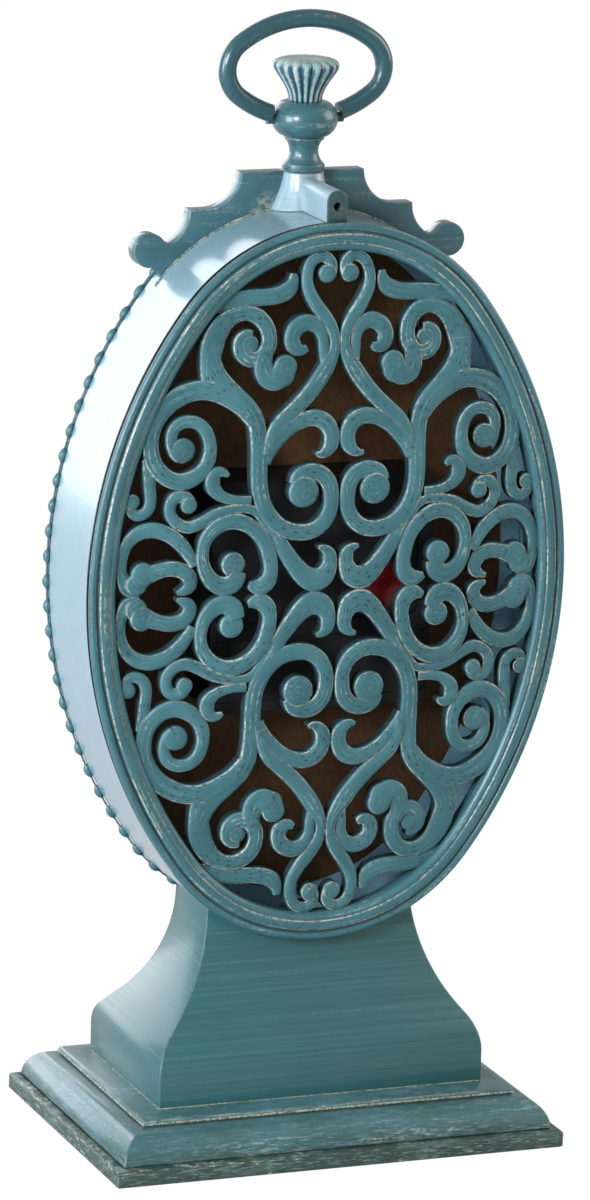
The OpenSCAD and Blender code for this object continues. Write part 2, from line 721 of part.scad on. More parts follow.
// bars as [x, z, half the bar's width]
scrolls = [
    // tall double curve beside the axis, from its top curl down to the long bar
    [[1.4, 72.8, 1.5], [3.6, 74.3, 1.8], [6.5, 73.2, 1.6], [7.5, 70.3, 1.6], [6.9, 67.6, 1.5],
     [4.9, 64.4, 1.5], [2.7, 61.2, 1.5],
     [1.5, 57.8, 1.6], [1.6, 54, 1.8], [3, 50.4, 2.2], [5.6, 46.8, 2.4], [8.8, 43.6, 2.3],
     [12.2, 40.6, 2.2], [15, 37.2, 2], [17.2, 31, 1.6]],
    // hook that leaves it near the top
    [[3.2, 50, 1.2], [3.9, 54, 1.3], [4.1, 57, 1.3], [5.4, 59.7, 1.5], [8, 60.5, 1.9],
     [10.3, 59.3, 2], [10.9, 57, 2], [10.1, 55, 1.8], [8.7, 54.6, 1.4], [7.7, 55.4, 0.7]],
    // leaf that springs from the rim
    [[28.5, 64.3, 1.2], [21.5, 66, 1.9], [17, 66.3, 2.1], [13.4, 66.5, 2.1], [10.9, 67.6, 2],
     [9.9, 69.6, 1.4], [10.3, 71.8, 0.5]],
    // upper loop along the rim and its inner curl
    [[29.9, 49.5, 2.1], [30.2, 53.5, 2.4], [28.9, 57.8, 2.8], [26.5, 61, 2.6], [22.6, 62.8, 2],
     [19.2, 62.2, 1.9], [16.8, 60.2, 1.9],
     [16, 57.2, 1.9], [16.7, 54.3, 1.8], [19, 52.4, 1.8], [21.6, 52.8, 1.9], [23, 55, 1.8]],
    // ball that hangs from the upper loop
    [[20.2, 52.2, 1.8], [18.2, 49.6, 2.2], [15.6, 48.7, 2.6], [13.6, 49.6, 3]],
    // long bar down to the central spiral
    [[30.2, 52.5, 2.2], [28.9, 49.6, 2.2], [25.6, 46.6, 2], [22, 43.8, 2], [19.8, 40.4, 2],
     [18.9, 36, 2], [18.7, 28, 2], [17.9, 21.4, 2.1], [16.2, 17.6, 2.2],
     [13.4, 14.8, 2.2], [9.8, 13.6, 2.1], [6, 14, 2.1], [3.2, 16.4, 2], [1.9, 19.8, 2],
     [2, 23.2, 2.1], [3.8, 26.2, 1.9], [6.6, 27.4, 2], [9.4, 26.4, 2.1]],
    // outer spiral beside the rim
    [[20, 40.2, 1.9], [23.4, 43.4, 1.9], [27.4, 45.4, 1.9], [31.5, 46.1, 2.2], [36, 45.6, 2.2],
     [40, 43, 2.2], [42.6, 39, 2.1], [43.3, 34.6, 2.1], [42.4, 30.4, 2],
     [39.8, 27.2, 2], [36, 26, 2], [32.4, 27.3, 1.9], [30.2, 30.4, 1.7], [29.9, 34.2, 1.6],
     [31.2, 37.6, 1.5], [34.4, 39.4, 1.5], [37.5, 38.2, 1.5], [38.8, 35.2, 1.5]],
    // tail that runs down from it to a small curl at the rim
    [[43.9, 33, 1.6], [43.3, 28, 1.75], [42.9, 23.5, 1.7], [43.2, 20.3, 1.5], [44.8, 18.5, 1.4],
     [46.9, 18.7, 1.4], [48, 20.4, 1.4]],
    // small spiral, passing over the middle loop and down to the hook at the centre
    [[36.4, 23, 1.2], [38.5, 21.4, 1.4], [38.9, 19.2, 1.5], [37.7, 17.1, 1.5], [35.3, 15.9, 1.6],
     [32.3, 16.5, 1.6], [27.5, 19.1, 1.5], [22.2, 20.4, 1.4],
     [19, 19.2, 1.6], [16.6, 16.6, 1.9], [14.2, 13, 1.9], [11.6, 9.4, 2], [9, 5.8, 2.3],
     [6.4, 3.6, 2.3], [3.6, 3.7, 2.1], [1.9, 6.2, 2], [2.6, 8.9, 1.6], [4.4, 10, 0.6]],
    // hook under the outer spiral
    [[19.5, 20.8, 1.2], [25.6, 21.9, 1.1], [28.2, 23.2, 1.6], [29.2, 25.4, 1.8], [28.6, 27.3, 1.8],
     [27, 28.2, 1.3], [25.5, 27.3, 0.5]],
    // middle loop
    [[20.6, 2.6, 1], [18.8, 1.9, 2], [16.5, 2.9, 2], [15.7, 6, 1.9], [16.2, 9.8, 1.9],
     [18.1, 13.4, 1.9], [21, 16, 2], [24.6, 16.9, 2], [28, 15.7, 1.9],
     [30.4, 12.6, 1.7], [31.2, 8.8, 1.5], [30.6, 5.2, 1.5], [28.8, 2.7, 1.8], [26.2, 1.8, 2],
     [23.9, 3.3, 2.2]],
    // lobe at the side
    [[32.7, 7, 1.4], [34.3, 10.8, 1.6], [37.3, 13.7, 1.8], [41, 15.1, 1.9], [44.8, 14.5, 1.9],
     [47.7, 11.9, 1.6], [49.2, 8.2, 1.6], [48.8, 4.9, 1.6], [47, 3, 2]],
    // arm from the lobe's ball back to the axis of the pattern
    [[42.5, 4.6, 2.2], [40.4, 6.1, 1.9], [37.6, 6.5, 1.9], [35, 5.3, 1.9], [33.8, 3, 1.8],
     [34.8, 1.2, 1.4], [36.6, 0.9, 0.6]],
    // hook above the central spiral
    [[17.3, 30, 1.4], [15.9, 33.5, 1.6], [13.4, 36.4, 1.7], [10.3, 38.6, 1.9], [6.9, 39.4, 2.1],
     [3.7, 38.4, 2], [1.9, 35.7, 2], [2.2, 32.9, 1.9], [4, 31.5, 1.4], [5.9, 31.7, 0.5]]
];
// round ends and the cores of the spirals as [x, z, radius]
bulbs = [[2.6, 71.5, 2.2], [21.3, 56.5, 2.6], [13, 50.5, 3.3], [8.6, 22.9, 3.7], [36, 33.7, 3.8],
        [46.9, 21.5, 2],
         [34.7, 21.5, 2.1], [5, 2.4, 2.5], [24.4, 7, 3.1], [44.6, 5, 3.5], [45.2, 3.2, 3.3]];

// height of the domed front of the bars at a place on the grid
function dome_y(x, z) = bar_edge_y + dome_h * (1 - pow(x / 50.5, 2) - pow(z / 76.2, 2));
function unit(v) = v / norm(v);
// five corners of a bar's section at point i, square to its run
function bar_ring(p, i) =
    let (
        n = len(p),
        a = p[max(i - 1, 0)],
        b = p[min(i + 1, n - 1)],
        t = unit([b[0] - a[0], b[1] - a[1]]),
        side = [t[1], -t[0]],
        w = p[i][2] * bar_scale,
        y = dome_y(p[i][0], p[i][1])
    )
    [for (c = [[-0.9, bar_t], [-1, 1.3], [0, 0], [1, 1.3], [0.9, bar_t]])
        [p[i][0] * grid_x + c[0] * w * side[0], y - c[1], p[i][1] * grid_z + c[0] * w * side[1]]];

module bar(p) {
    n = len(p);
    k = 5;
    polyhedron(
        points = [for (i = [0 : n - 1]) each bar_ring(p, i)],
        faces = [
            [for (j = [k - 1 : -1 : 0]) j],
            for (i = [0 : n - 2], j = [0 : k - 1])
                [i * k + j, i * k + (j + 1) % k, (i + 1) * k + (j + 1) % k, (i + 1) * k + j],
            [for (j = [0 : k - 1]) (n - 1) * k + j]
        ]
    );
}

module bulb(b)
    translate([b[0] * grid_x, dome_y(b[0], b[1]) + 0.15, b[1] * grid_z]) rotate([90, 0, 0]) hull() {
    cylinder(r = b[2] * 0.6 * bar_scale, h = 1, $fn = 8);
    translate([0, 0, 1.2]) cylinder(r = b[2] * bar_scale, h = bar_t - 1.2, $fn = 8);
}

module scroll_grille() color("#4f8894") translate([0, 0, case_z]) union() intersection() {
    union() for (mx = [0, 1], mz = [0, 1]) mirror([mx, 0, 0]) mirror([0, 0, mz]) {
        for (p = scrolls) bar(p);
        for (b = bulbs) bulb(b);
    }
    translate([0, -50, 0]) rotate([-90, 0, 0]) linear_extrude(150) oval(rim_w + seat_gap, $fn = 160);
}

base_plinth();
pedestal();
pedestal_screws();
drum_shell();
drum_screws();
front_bezel();
bead_trim();
dial_glass();
glass_spacer();
dial_face();
dial_board();
board_screws();
movement_front_case();
movement_rear_case();
battery();
battery_contacts();
battery_cover();
setting_knob();
bushing_washer();
bushing_nut();
hour_hand();
minute_hand();
hand_nut();
pediment();
rear_boss();
finial_neck();
finial_ball();
winding_crown();
crown_stud();
bow();
rear_rim();
scroll_grille();
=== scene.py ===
import math

import bpy
from mathutils import Matrix, Vector


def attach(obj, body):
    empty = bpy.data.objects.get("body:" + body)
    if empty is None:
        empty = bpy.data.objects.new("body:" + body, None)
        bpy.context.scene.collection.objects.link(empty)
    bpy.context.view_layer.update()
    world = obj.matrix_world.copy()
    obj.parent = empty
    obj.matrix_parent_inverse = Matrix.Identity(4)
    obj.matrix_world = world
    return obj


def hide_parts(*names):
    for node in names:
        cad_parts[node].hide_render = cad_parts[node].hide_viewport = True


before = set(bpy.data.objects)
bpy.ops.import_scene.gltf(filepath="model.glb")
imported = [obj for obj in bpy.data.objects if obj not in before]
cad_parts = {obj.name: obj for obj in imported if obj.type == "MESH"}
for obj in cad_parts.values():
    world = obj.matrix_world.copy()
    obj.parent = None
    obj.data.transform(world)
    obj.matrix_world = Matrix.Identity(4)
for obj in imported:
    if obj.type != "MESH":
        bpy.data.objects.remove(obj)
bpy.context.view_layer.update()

# Sizes in millimetres, as in the part: X across, Y towards the pierced rear cover, Z up.
# Height of the oval's middle, and its four arcs: their centres lie 4 units to the sides and 3 units
# up and down from it, and the arcs of its ends have this radius.
CASE_Z = 138.1
OVAL_T = 13.35
OVAL_END = 47.15
ARC_TURN = math.degrees(math.atan2(3, 4))
# depths: the rim's seat, the wall's two ends, the bezel's front, the finial's axis and the board's back
RIM_Y = 18.9
WALL_FRONT, WALL_REAR = -9.2, 18.4
BEZEL_Y = -16.0
TOP_Y = -4.7
PED_BACK = -4.65
# heights: the board's top and the middle of the ball that holds the bow
PED_TOP = 233.2
BALL_Z = 245.75
# half the width and height that the scrollwork is drawn at, and its stretch to the cover's opening
DRAWN_X, DRAWN_Z = 50.5, 76.2
GRID_X, GRID_Z = 53.6 / DRAWN_X, 80.3 / DRAWN_Z


# ---- outlines -------------------------------------------------------------------------------

def arc(cx, cy, r, start, end, steps):
    """Points on an arc, with angles in degrees."""
    turns = [math.radians(start + (end - start) * i / steps) for i in range(steps + 1)]
    return [(cx + r * math.cos(a), cy + r * math.sin(a)) for a in turns]


def oval_turns(step, t=OVAL_T, r=OVAL_END):
    """Directions round an oval of four arcs, about step mm apart, with the run up to each."""
    turns, run = [], 0.0
    for start, span, radius in (
        (-ARC_TURN, 2 * ARC_TURN, r + 5 * t),
        (ARC_TURN, 180 - 2 * ARC_TURN, r),
        (180 - ARC_TURN, 2 * ARC_TURN, r + 5 * t),
        (180 + ARC_TURN, 180 - 2 * ARC_TURN, r),
    ):
        length = math.radians(span) * radius
        count = max(2, round(length / step))
        turns += [(start + span * i / count, run + length * i / count) for i in range(count)]
        run += length
    return turns + [(360 - ARC_TURN, run)]


def on_oval(turn, inset=0.0, t=OVAL_T, r=OVAL_END):
    """The place on that oval, drawn in by inset, whose outward direction is turn."""
    a = (turn + ARC_TURN) % 360
    if a < 2 * ARC_TURN:
        cx, cz, radius = -4 * t, 0, r + 5 * t
    elif a < 180:
        cx, cz, radius = 0, 3 * t, r
    elif a < 180 + 2 * ARC_TURN:
        cx, cz, radius = 4 * t, 0, r + 5 * t
    else:
        cx, cz, radius = 0, -3 * t, r
    c, s = math.cos(math.radians(turn)), math.sin(math.radians(turn))
    return cx + (radius - inset) * c, cz + (radius - inset) * s


def through(points, steps):
    """A smooth line through the points, each a tuple of numbers, with steps points a span."""
    line = []
    for i in range(len(points) - 1):
        a, b = points[max(i - 1, 0)], points[i]
        c, d = points[i + 1], points[min(i + 2, len(points) - 1)]
        for k in range(steps):
            f = k / steps
            line.append(tuple(
                0.5 * (2 * q + (r - p) * f + (2 * p - 5 * q + 4 * r - s) * f * f + (3 * q - p - 3 * r + s) * f ** 3)
                for p, q, r, s in zip(a, b, c, d)
            ))
    return line + [tuple(points[-1])]


# ---- modelling ------------------------------------------------------------------------------

def only(*pieces):
    """Leaves object mode and selects just these."""
    if bpy.context.object and bpy.context.object.mode != "OBJECT":
        bpy.ops.object.mode_set(mode="OBJECT")
    bpy.ops.object.select_all(action="DESELECT")
    for piece in pieces:
        piece.select_set(True)
        bpy.context.view_layer.objects.active = piece


# points closer together than this, in millimetres, become one
WELD, FINE_WELD = 0.002, 0.0005


def tidy_faces(piece, gap=WELD):
    """Welds what touches, closes open ends and turns all faces outwards."""
    only(piece)
    bpy.ops.object.mode_set(mode="EDIT")
    bpy.ops.mesh.select_all(action="SELECT")
    bpy.ops.mesh.remove_doubles(threshold=gap)
    bpy.ops.mesh.fill_holes(sides=0)
    bpy.ops.mesh.normals_make_consistent(inside=False)
    bpy.ops.object.mode_set(mode="OBJECT")


def skinned(stations, runs=None, closed=False, across=None):
    """A bar drawn through stations, each a closed row of places.

    Its map has the run along the bar, and the run round it or the values of across, in metres."""
    only()
    rows = [list(s) + [s[0]] for s in stations]
    if closed:
        rows.append(rows[0])
    high, wide = len(rows), len(rows[0])
    bpy.ops.mesh.primitive_grid_add(x_subdivisions=wide - 1, y_subdivisions=high - 1, size=2)
    piece = bpy.context.object
    for vertex, place in zip(piece.data.vertices, (p for row in rows for p in row)):
        vertex.co = place
    if runs is None:
        mid = [sum((Vector(p) for p in row[:-1]), Vector()) / (wide - 1) for row in rows]
        runs = [0.0]
        for a, b in zip(mid, mid[1:]):
            runs.append(runs[-1] + (b - a).length)
    round_it = [[0.0] for _ in rows]
    for row, out in zip(rows, round_it):
        for a, b in zip(row, row[1:]):
            out.append(out[-1] + (Vector(b) - Vector(a)).length)
    if across:
        round_it = across
    for spot in piece.data.uv_layers.active.data:
        i, j = round(spot.uv.y * (high - 1)), round(spot.uv.x * (wide - 1))
        spot.uv = (runs[i] * 0.001, round_it[i][j] * 0.001)
    tidy_faces(piece)
    return piece


def moulded(profile, step=1.6):
    """A moulding round the case: profile is a closed row of (inset, y)."""
    turns = oval_turns(step)
    stations = []
    for turn, _ in turns[:-1]:
        spots = [on_oval(turn, inset) + (y,) for inset, y in profile]
        stations.append([(x, y, CASE_Z + z) for x, z, y in spots])
    return skinned(stations, [run for _, run in turns], closed=True)


def turned(profile, y=0.0, sides=64):
    """A lathe-turned piece about an upright axis: a disc drawn up through (radius, z)."""
    only()
    (r, z), *rest = profile
    bpy.ops.mesh.primitive_circle_add(vertices=sides, radius=r, fill_type="NGON", location=(0, y, z))
    piece = bpy.context.object
    bpy.ops.object.mode_set(mode="EDIT")
    bpy.ops.mesh.select_all(action="SELECT")
    for new_r, new_z in rest:
        bpy.ops.mesh.extrude_region_move(TRANSFORM_OT_translate={"value": (0, 0, new_z - z)})
        bpy.ops.transform.resize(value=(new_r / r, new_r / r, 1), center_override=(0, y, new_z))
        r, z = new_r, new_z
    tidy_faces(piece, FINE_WELD)
    bpy.ops.object.transform_apply(location=True)
    return piece


def stepped(levels):
    """A square-cornered piece: a plate drawn up through (z, half width, rear depth, front depth)."""
    only()
    z, w, rear, front = levels[0]
    bpy.ops.mesh.primitive_plane_add(size=2, location=(0, (rear - front) / 2, z))
    piece = bpy.context.object
    bpy.ops.transform.resize(value=(w, (rear + front) / 2, 1))
    bpy.ops.object.transform_apply(location=True, scale=True)
    bpy.ops.object.mode_set(mode="EDIT")
    bpy.ops.mesh.select_all(action="SELECT")
    for new_z, new_w, new_rear, new_front in levels[1:]:
        shift = (new_rear - new_front - rear + front) / 2
        bpy.ops.mesh.extrude_region_move(TRANSFORM_OT_translate={"value": (0, shift, new_z - z)})
        ratio = (new_w / w, (new_rear + new_front) / (rear + front), 1)
        bpy.ops.transform.resize(value=ratio, center_override=(0, (new_rear - new_front) / 2, new_z))
        z, w, rear, front = new_z, new_w, new_rear, new_front
    tidy_faces(piece, FINE_WELD)
    return piece


def plate(outline, y0, y1):
    """A flat board cut to an outline of (x, z), from y0 to y1."""
    only()
    bpy.ops.mesh.primitive_circle_add(vertices=len(outline), radius=1, fill_type="NGON")
    piece = bpy.context.object
    for vertex, (x, z) in zip(piece.data.vertices, outline):
        vertex.co = (x, y0, z)
    bpy.ops.object.mode_set(mode="EDIT")
    bpy.ops.mesh.select_all(action="SELECT")
    bpy.ops.mesh.extrude_region_move(TRANSFORM_OT_translate={"value": (0, y1 - y0, 0)})
    tidy_faces(piece, FINE_WELD)
    return piece


def rod(r, start, end, sides=32):
    """A round rod between two places."""
    only()
    run = Vector(end) - Vector(start)
    bpy.ops.mesh.primitive_cylinder_add(
        vertices=sides, radius=r, depth=run.length, location=(Vector(start) + Vector(end)) / 2,
        rotation=run.to_track_quat("Z", "Y").to_euler(),
    )
    piece = bpy.context.object
    bpy.ops.object.transform_apply(location=True, rotation=True)
    return piece


def modified(piece, kind, **settings):
    """Adds a modifier with its settings and applies it."""
    only(piece)
    bpy.ops.object.modifier_add(type=kind)
    modifier = piece.modifiers[-1]
    for key, value in settings.items():
        setattr(modifier, key, value)
    bpy.ops.object.modifier_apply(modifier=modifier.name)
    return piece


def eased(piece, width, angle=35):
    """Rounds the sharp edges."""
    return modified(piece, "BEVEL", width=width, segments=2, limit_method="ANGLE",
                    angle_limit=math.radians(angle), harden_normals=False)


def cut(piece, cutter, operation="DIFFERENCE"):
    """Takes the cutter out of the piece, or joins it on."""
    modified(piece, "BOOLEAN", operation=operation, object=cutter, solver="EXACT")
    bpy.data.objects.remove(cutter)
    return piece


def joined(pieces):
    """Makes one piece of several."""
    only(*pieces)
    bpy.ops.object.join()
    return bpy.context.object


def copied(piece, matrix):
    """A copy with a mesh of its own, moved by matrix."""
    twin = piece.copy()
    twin.data = piece.data.copy()
    bpy.context.scene.collection.objects.link(twin)
    twin.data.transform(matrix)
    if matrix.determinant() < 0:
        twin.data.flip_normals()
    return twin


def placed(piece, name, body, material, nodes=(), smooth=40):
    """Brings a finished piece to metres, names and paints it, and hangs it on its body."""
    only(piece)
    bpy.ops.transform.resize(value=(0.001, 0.001, 0.001), center_override=(0, 0, 0))
    bpy.ops.object.transform_apply(location=True, rotation=True, scale=True)
    bpy.ops.object.shade_smooth_by_angle(angle=math.radians(smooth))
    piece.name = piece.data.name = name
    piece.data.materials.clear()
    piece.data.materials.append(material)
    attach(piece, body)
    if nodes:
        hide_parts(*nodes)
    return piece


# ---- materials ------------------------------------------------------------------------------

# what lies over the paint, what shows where it has gone, the dark of its hollows, and the dark painted shade down the
# sides of the bars and in the seams
CREAM_GROUND, HOLLOW_DARK, WIPED_FILLER = "#d9d3ba", "#2a2a22", "#b3b49c"
BARE_STAIN, BARE_GROUND = "#30382c", "#b9bba4"
BAR_SIDE_SHADE, SEAM_SHADE, BLACK_SPATTER = "#1c2a2b", "#101415", "#162022"


def linear(code):
    """An sRGB hex colour as linear numbers."""
    parts = [int(code[i:i + 2], 16) / 255 for i in (1, 3, 5)]
    return [c / 12.92 if c <= 0.04045 else ((c + 0.055) / 1.055) ** 2.4 for c in parts] + [1.0]


def add(tree, kind, links=(), **settings):
    """Adds a node. Settings are its properties, or its inputs' values where the key is i and the input's number;
    links are pairs of an input and the socket that feeds it."""
    node = tree.nodes.new("ShaderNode" + kind)
    for key, value in settings.items():
        if key[0] == "i" and key[1:].isdigit():
            node.inputs[int(key[1:])].default_value = value
        else:
            setattr(node, key, value)
    for name, socket in links:
        tree.links.new(socket, node.inputs[name])
    return node


def fed(tree, node, *pairs):
    """Feeds a node's inputs, each by a socket, a hex colour or a number."""
    for index, value in pairs:
        if isinstance(value, bpy.types.NodeSocket):
            tree.links.new(value, node.inputs[index])
        else:
            node.inputs[index].default_value = linear(value) if isinstance(value, str) else value
    return node


def new_material(name):
    material = bpy.data.materials.new(name)
    material.use_nodes = True
    tree = material.node_tree
    return material, tree, tree.nodes["Principled BSDF"]


def blend(tree, factor, under, over):
    """Over on top of under by factor. A colour is a hex code or a socket."""
    return fed(tree, add(tree, "Mix", data_type="RGBA"), (0, factor), (6, under), (7, over)).outputs[2]


def maths(tree, operation, a, b=0.0):
    return fed(tree, add(tree, "Math", operation=operation), (0, a), (1, b)).outputs[0]


def times(tree, a, b):
    return maths(tree, "MULTIPLY", a, b)


def away_from(tree, socket, value):
    return maths(tree, "ABSOLUTE", maths(tree, "SUBTRACT", socket, value))


def between(tree, socket, low, high, out_low=0.0, out_high=1.0):
    """Maps a value smoothly from low..high to out_low..out_high."""
    return add(tree, "MapRange", [("Value", socket)], interpolation_type="SMOOTHSTEP",
               i1=low, i2=high, i3=out_low, i4=out_high).outputs[0]


def noise(tree, place, scale, detail, roughness=0.5):
    return add(tree, "TexNoise", [("Vector", place)], i2=scale, i3=detail, i4=roughness).outputs[0]


def scaled(tree, place, scale, turn=(0, 0, 0)):
    return add(tree, "Mapping", [("Vector", place)], i2=turn, i3=scale).outputs[0]


def split(tree, place):
    return add(tree, "SeparateXYZ", [("Vector", place)]).outputs


def dot(tree, a, b):
    return add(tree, "VectorMath", [(0, a), (1, b)], operation="DOT_PRODUCT").outputs["Value"]


def aged_paint(name, body, high, deep, rub=CREAM_GROUND, mapped=False, stroke=(30, 30, 700), rubbed=0.5,
               specks=0.5, hollow_tone=0.6, roughness=0.42, edge_r=0.0007, undercoat=0.0, worn_z=(0.3, 0.4), lines=(),
               outline=0.0, coat=0.0, flow=0.5, patchy=0.5, dry=0.3, inner=None, rear=(), smear=(), shaded_seam=(), ribs=()):
    """Brushed acrylic, rubbed back to a cream ground on its edges and darkened in its hollows.

    body, high and deep are the paint's usual, thick and thin tones, and rub is what shows where it is rubbed.
    mapped: the marks follow the piece's map instead of the axes.
    stroke: brush marks to a metre along each axis; flow: how plainly they show; dry: how much the brush dragged.
    rubbed, specks, hollow_tone: how far edges are rubbed, how much black spatter lies on it, how dark its hollows are
    made.
    edge_r: how far, in metres, the rubbing reaches from an edge.
    patchy: how far the coat's thickness varies; coat: how much clear varnish lies over it.
    undercoat: how far the faces are sanded through, in full up to the first height of worn_z and
    fading out up to the second.
    lines: places across the map, in metres, where the rubbing has left a thin cream line.
    outline: how dark the painted shade lies down the sides of a bar.
    inner: the colour of the faces that look inwards, to the middle of the case, painted pale as painted light falling
    inside it.
    rear: a colour and how far back, in metres, it begins: painted shade on the boss's end, painted light on the back of
    the front moulding.
    smear: a place, and a radius round it, where filler was wiped over the paint.
    shaded_seam: the place across the map, and half the width, of a seam painted black as painted shade.
    ribs: how many ribs stand round the finial's axis, the height where they end, and their hollows' colour."""
    material, tree, shader = new_material(name)
    coords = add(tree, "TexCoord").outputs
    place = coords["Object"]
    follow = coords["UV"] if mapped else place
    along = split(tree, place)
    across = split(tree, follow)[1]
    facing = add(tree, "NewGeometry").outputs["Normal"]
    brush = noise(tree, scaled(tree, follow, stroke), 1.0, 4.0, 0.62)
    # patches where the coat is thicker, about 18 mm across
    patch = noise(tree, place, 55.0, 3.0, 0.55)
    # the dry, broken edge of a rub, with grains of about 1 mm and finer
    grain = noise(tree, place, 900.0, 4.0, 0.65)
    # where the rubbing came and went, about 12 mm
    reach = noise(tree, place, 85.0, 2.0)

    spread = 0.12 / flow
    colour = blend(tree, between(tree, brush, 0.5 - spread, 0.5 + spread), deep, body)
    colour = blend(tree, between(tree, patch, 0.42, 0.72, 0.0, patchy), colour, high)
    if inner:
        # painted light: the faces that look in towards the middle of the case are painted paler, standing in for light
        # that falls inside
        middle = add(tree, "VectorMath", [(0, place)], operation="MULTIPLY_ADD",
                     i1=(1, 0, 1), i2=(0, 0, -0.001 * CASE_Z)).outputs[0]
        colour = blend(tree, between(tree, dot(tree, middle, facing), -0.01, 0.01, 1.0, 0.0), colour, inner)
    if rear:
        # a colour painted on all that lies further back than start, as painted shade on the boss's end and painted
        # light on the back of the front moulding
        tone, start = rear
        colour = blend(tree, between(tree, along[1], start, start + 0.0002), colour, tone)
    if smear:
        *spot_at, radius = smear
        away = add(tree, "VectorMath", [(0, place)], operation="DISTANCE", i1=spot_at).outputs["Value"]
        away = maths(tree, "ADD", away, times(tree, patch, radius))
        wiped = times(tree, between(tree, away, radius * 1.1, radius * 1.5, 1.0, 0.0),
                      between(tree, grain, 0.4, 0.58, 0.05, 0.6))
        colour = blend(tree, wiped, colour, WIPED_FILLER)
    if ribs:
        count, rib_top, tone = ribs
        turn = maths(tree, "ARCTAN2", maths(tree, "SUBTRACT", along[1], 0.001 * TOP_Y), along[0])
        wave = maths(tree, "COSINE", times(tree, turn, count))
        wave = maths(tree, "ADD", wave, between(tree, grain, 0.3, 0.7, -0.45, 0.45))
        below = between(tree, along[2], rib_top, rib_top + 0.0009, 1.0, 0.0)
        colour = blend(tree, times(tree, between(tree, wave, -0.55, -0.05), below), colour, tone)
    # fine pale drag marks that the brush leaves
    drag = times(tree, between(tree, brush, 0.54, 0.68), between(tree, grain, 0.45, 0.6, 0.0, dry))
    colour = blend(tree, drag, colour, rub)

    soft = add(tree, "Bevel", samples=6, i0=edge_r).outputs[0]
    edge = maths(tree, "SUBTRACT", 1.0, dot(tree, soft, facing))
    # darker in the hollows, where other surfaces lie within 3 mm
    open_air = add(tree, "AmbientOcclusion", samples=6, only_local=True, i1=0.003).outputs["AO"]
    shut_in = between(tree, open_air, 0.35, 0.9, 1.0, 0.0)
    wax = times(tree, shut_in, between(tree, reach, 0.25, 0.6, hollow_tone * 0.5, hollow_tone))
    colour = blend(tree, wax, colour, HOLLOW_DARK)
    if undercoat:
        # flecks about 3 mm long and 0.4 mm high, where the sanding went through to dark stain or cream ground
        fleck = noise(tree, scaled(tree, place, (300, 300, 2600)), 1.0, 4.0, 0.7)
        bare = times(tree, between(tree, brush, 0.36, 0.56, 0.3, 1.0), between(tree, fleck, 0.42, 0.54))
        pale = times(tree, between(tree, reach, 0.35, 0.6, 0.2, 0.7), between(tree, fleck, 0.43, 0.34))
        height = between(tree, along[2], *worn_z, undercoat, undercoat * 0.4)
        colour = blend(tree, times(tree, bare, height), colour, BARE_STAIN)
        colour = blend(tree, times(tree, pale, height), colour, BARE_GROUND)
    worn = times(tree, between(tree, edge, 0.012, 0.10), between(tree, open_air, 0.5, 0.85))
    worn = times(tree, worn, between(tree, grain, 0.40, 0.56, 0.15, 1.0))
    worn = times(tree, worn, between(tree, reach, 0.4, 0.66, rubbed * 0.1, rubbed))
    colour = blend(tree, worn, colour, rub)

    if outline:
        # painted shade down the sides of a bar
        side = times(tree, between(tree, across, -0.0011, -0.0003, outline, 0.0),
                     between(tree, grain, 0.3, 0.5, 0.6, 1.0))
        colour = blend(tree, side, colour, BAR_SIDE_SHADE)
    for line in lines:
        thin = between(tree, away_from(tree, across, line), 0.0001, 0.00026, 1.0, 0.0)
        thin = times(tree, thin, between(tree, grain, 0.4, 0.54, 0.1, 0.9))
        colour = blend(tree, times(tree, thin, between(tree, reach, 0.42, 0.6, 0.15, 0.9)), colour, rub)
    if shaded_seam:
        # painted shade: a black line along a seam
        seam, half = shaded_seam
        black = between(tree, away_from(tree, across, seam), half * 0.8, half * 1.1, 1.0, 0.0)
        colour = blend(tree, black, colour, SEAM_SHADE)
    # spots and short dashes of black spatter, mostly 0.2 to 1 mm, lying along the brush marks
    cells, dimensions = ((330, 1900, 1900), "2D") if mapped else ((420, 420, 900), "3D")
    spots = add(tree, "TexVoronoi", [("Vector", scaled(tree, follow, cells, (0, 0, 0.25)))],
                voronoi_dimensions=dimensions, i2=1.0).outputs
    chosen = add(tree, "SeparateColor", [("Color", spots["Color"])]).outputs[0]
    spot = times(tree, between(tree, spots["Distance"], 0.15, 0.22, 1.0, 0.0),
                 between(tree, reach, 0.46, 0.54, 0.0, specks))
    spot = times(tree, spot, between(tree, chosen, 0.46, 0.5))
    colour = blend(tree, spot, colour, BLACK_SPATTER)
    tree.links.new(colour, shader.inputs["Base Color"])

    rough = maths(tree, "ADD", between(tree, brush, 0.3, 0.7, -0.07, 0.07), roughness)
    rough = maths(tree, "ADD", rough, times(tree, worn, 0.25))
    tree.links.new(rough, shader.inputs["Roughness"])
    ridge = maths(tree, "ADD", brush, times(tree, grain, 0.35))
    ridge = maths(tree, "SUBTRACT", ridge, times(tree, spot, 0.5))
    bump = add(tree, "Bump", [("Height", ridge), ("Normal", soft)], i0=0.35, i1=0.00022)
    tree.links.new(bump.outputs[0], shader.inputs["Normal"])
    # a clear varnish over the paint gives it its wet shine at low angles
    shader.inputs["Coat Weight"].default_value = coat
    shader.inputs["Coat Roughness"].default_value = 0.16
    return material


# one teal, a little greener on the wood and bluer on the metal; the varnish over it differs from piece to piece
WOOD_TEAL = ("#37696a", "#407172", "#2d5c5c")
CAST_TEAL = ("#467a7f", "#52878d", "#3b6b70")
RIM_TEAL = ("#427479", "#4d8187", "#37666b")
# painted light: a pale blue on the inside of the drum and the back of the front moulding, standing in for the light
# that falls into the case
INSIDE_PAINTED_LIGHT = "#b8ecff"
# along the map of a moulding the brush marks are long, and across it they are fine
MOULDING_STROKE = (35, 1100, 1100)

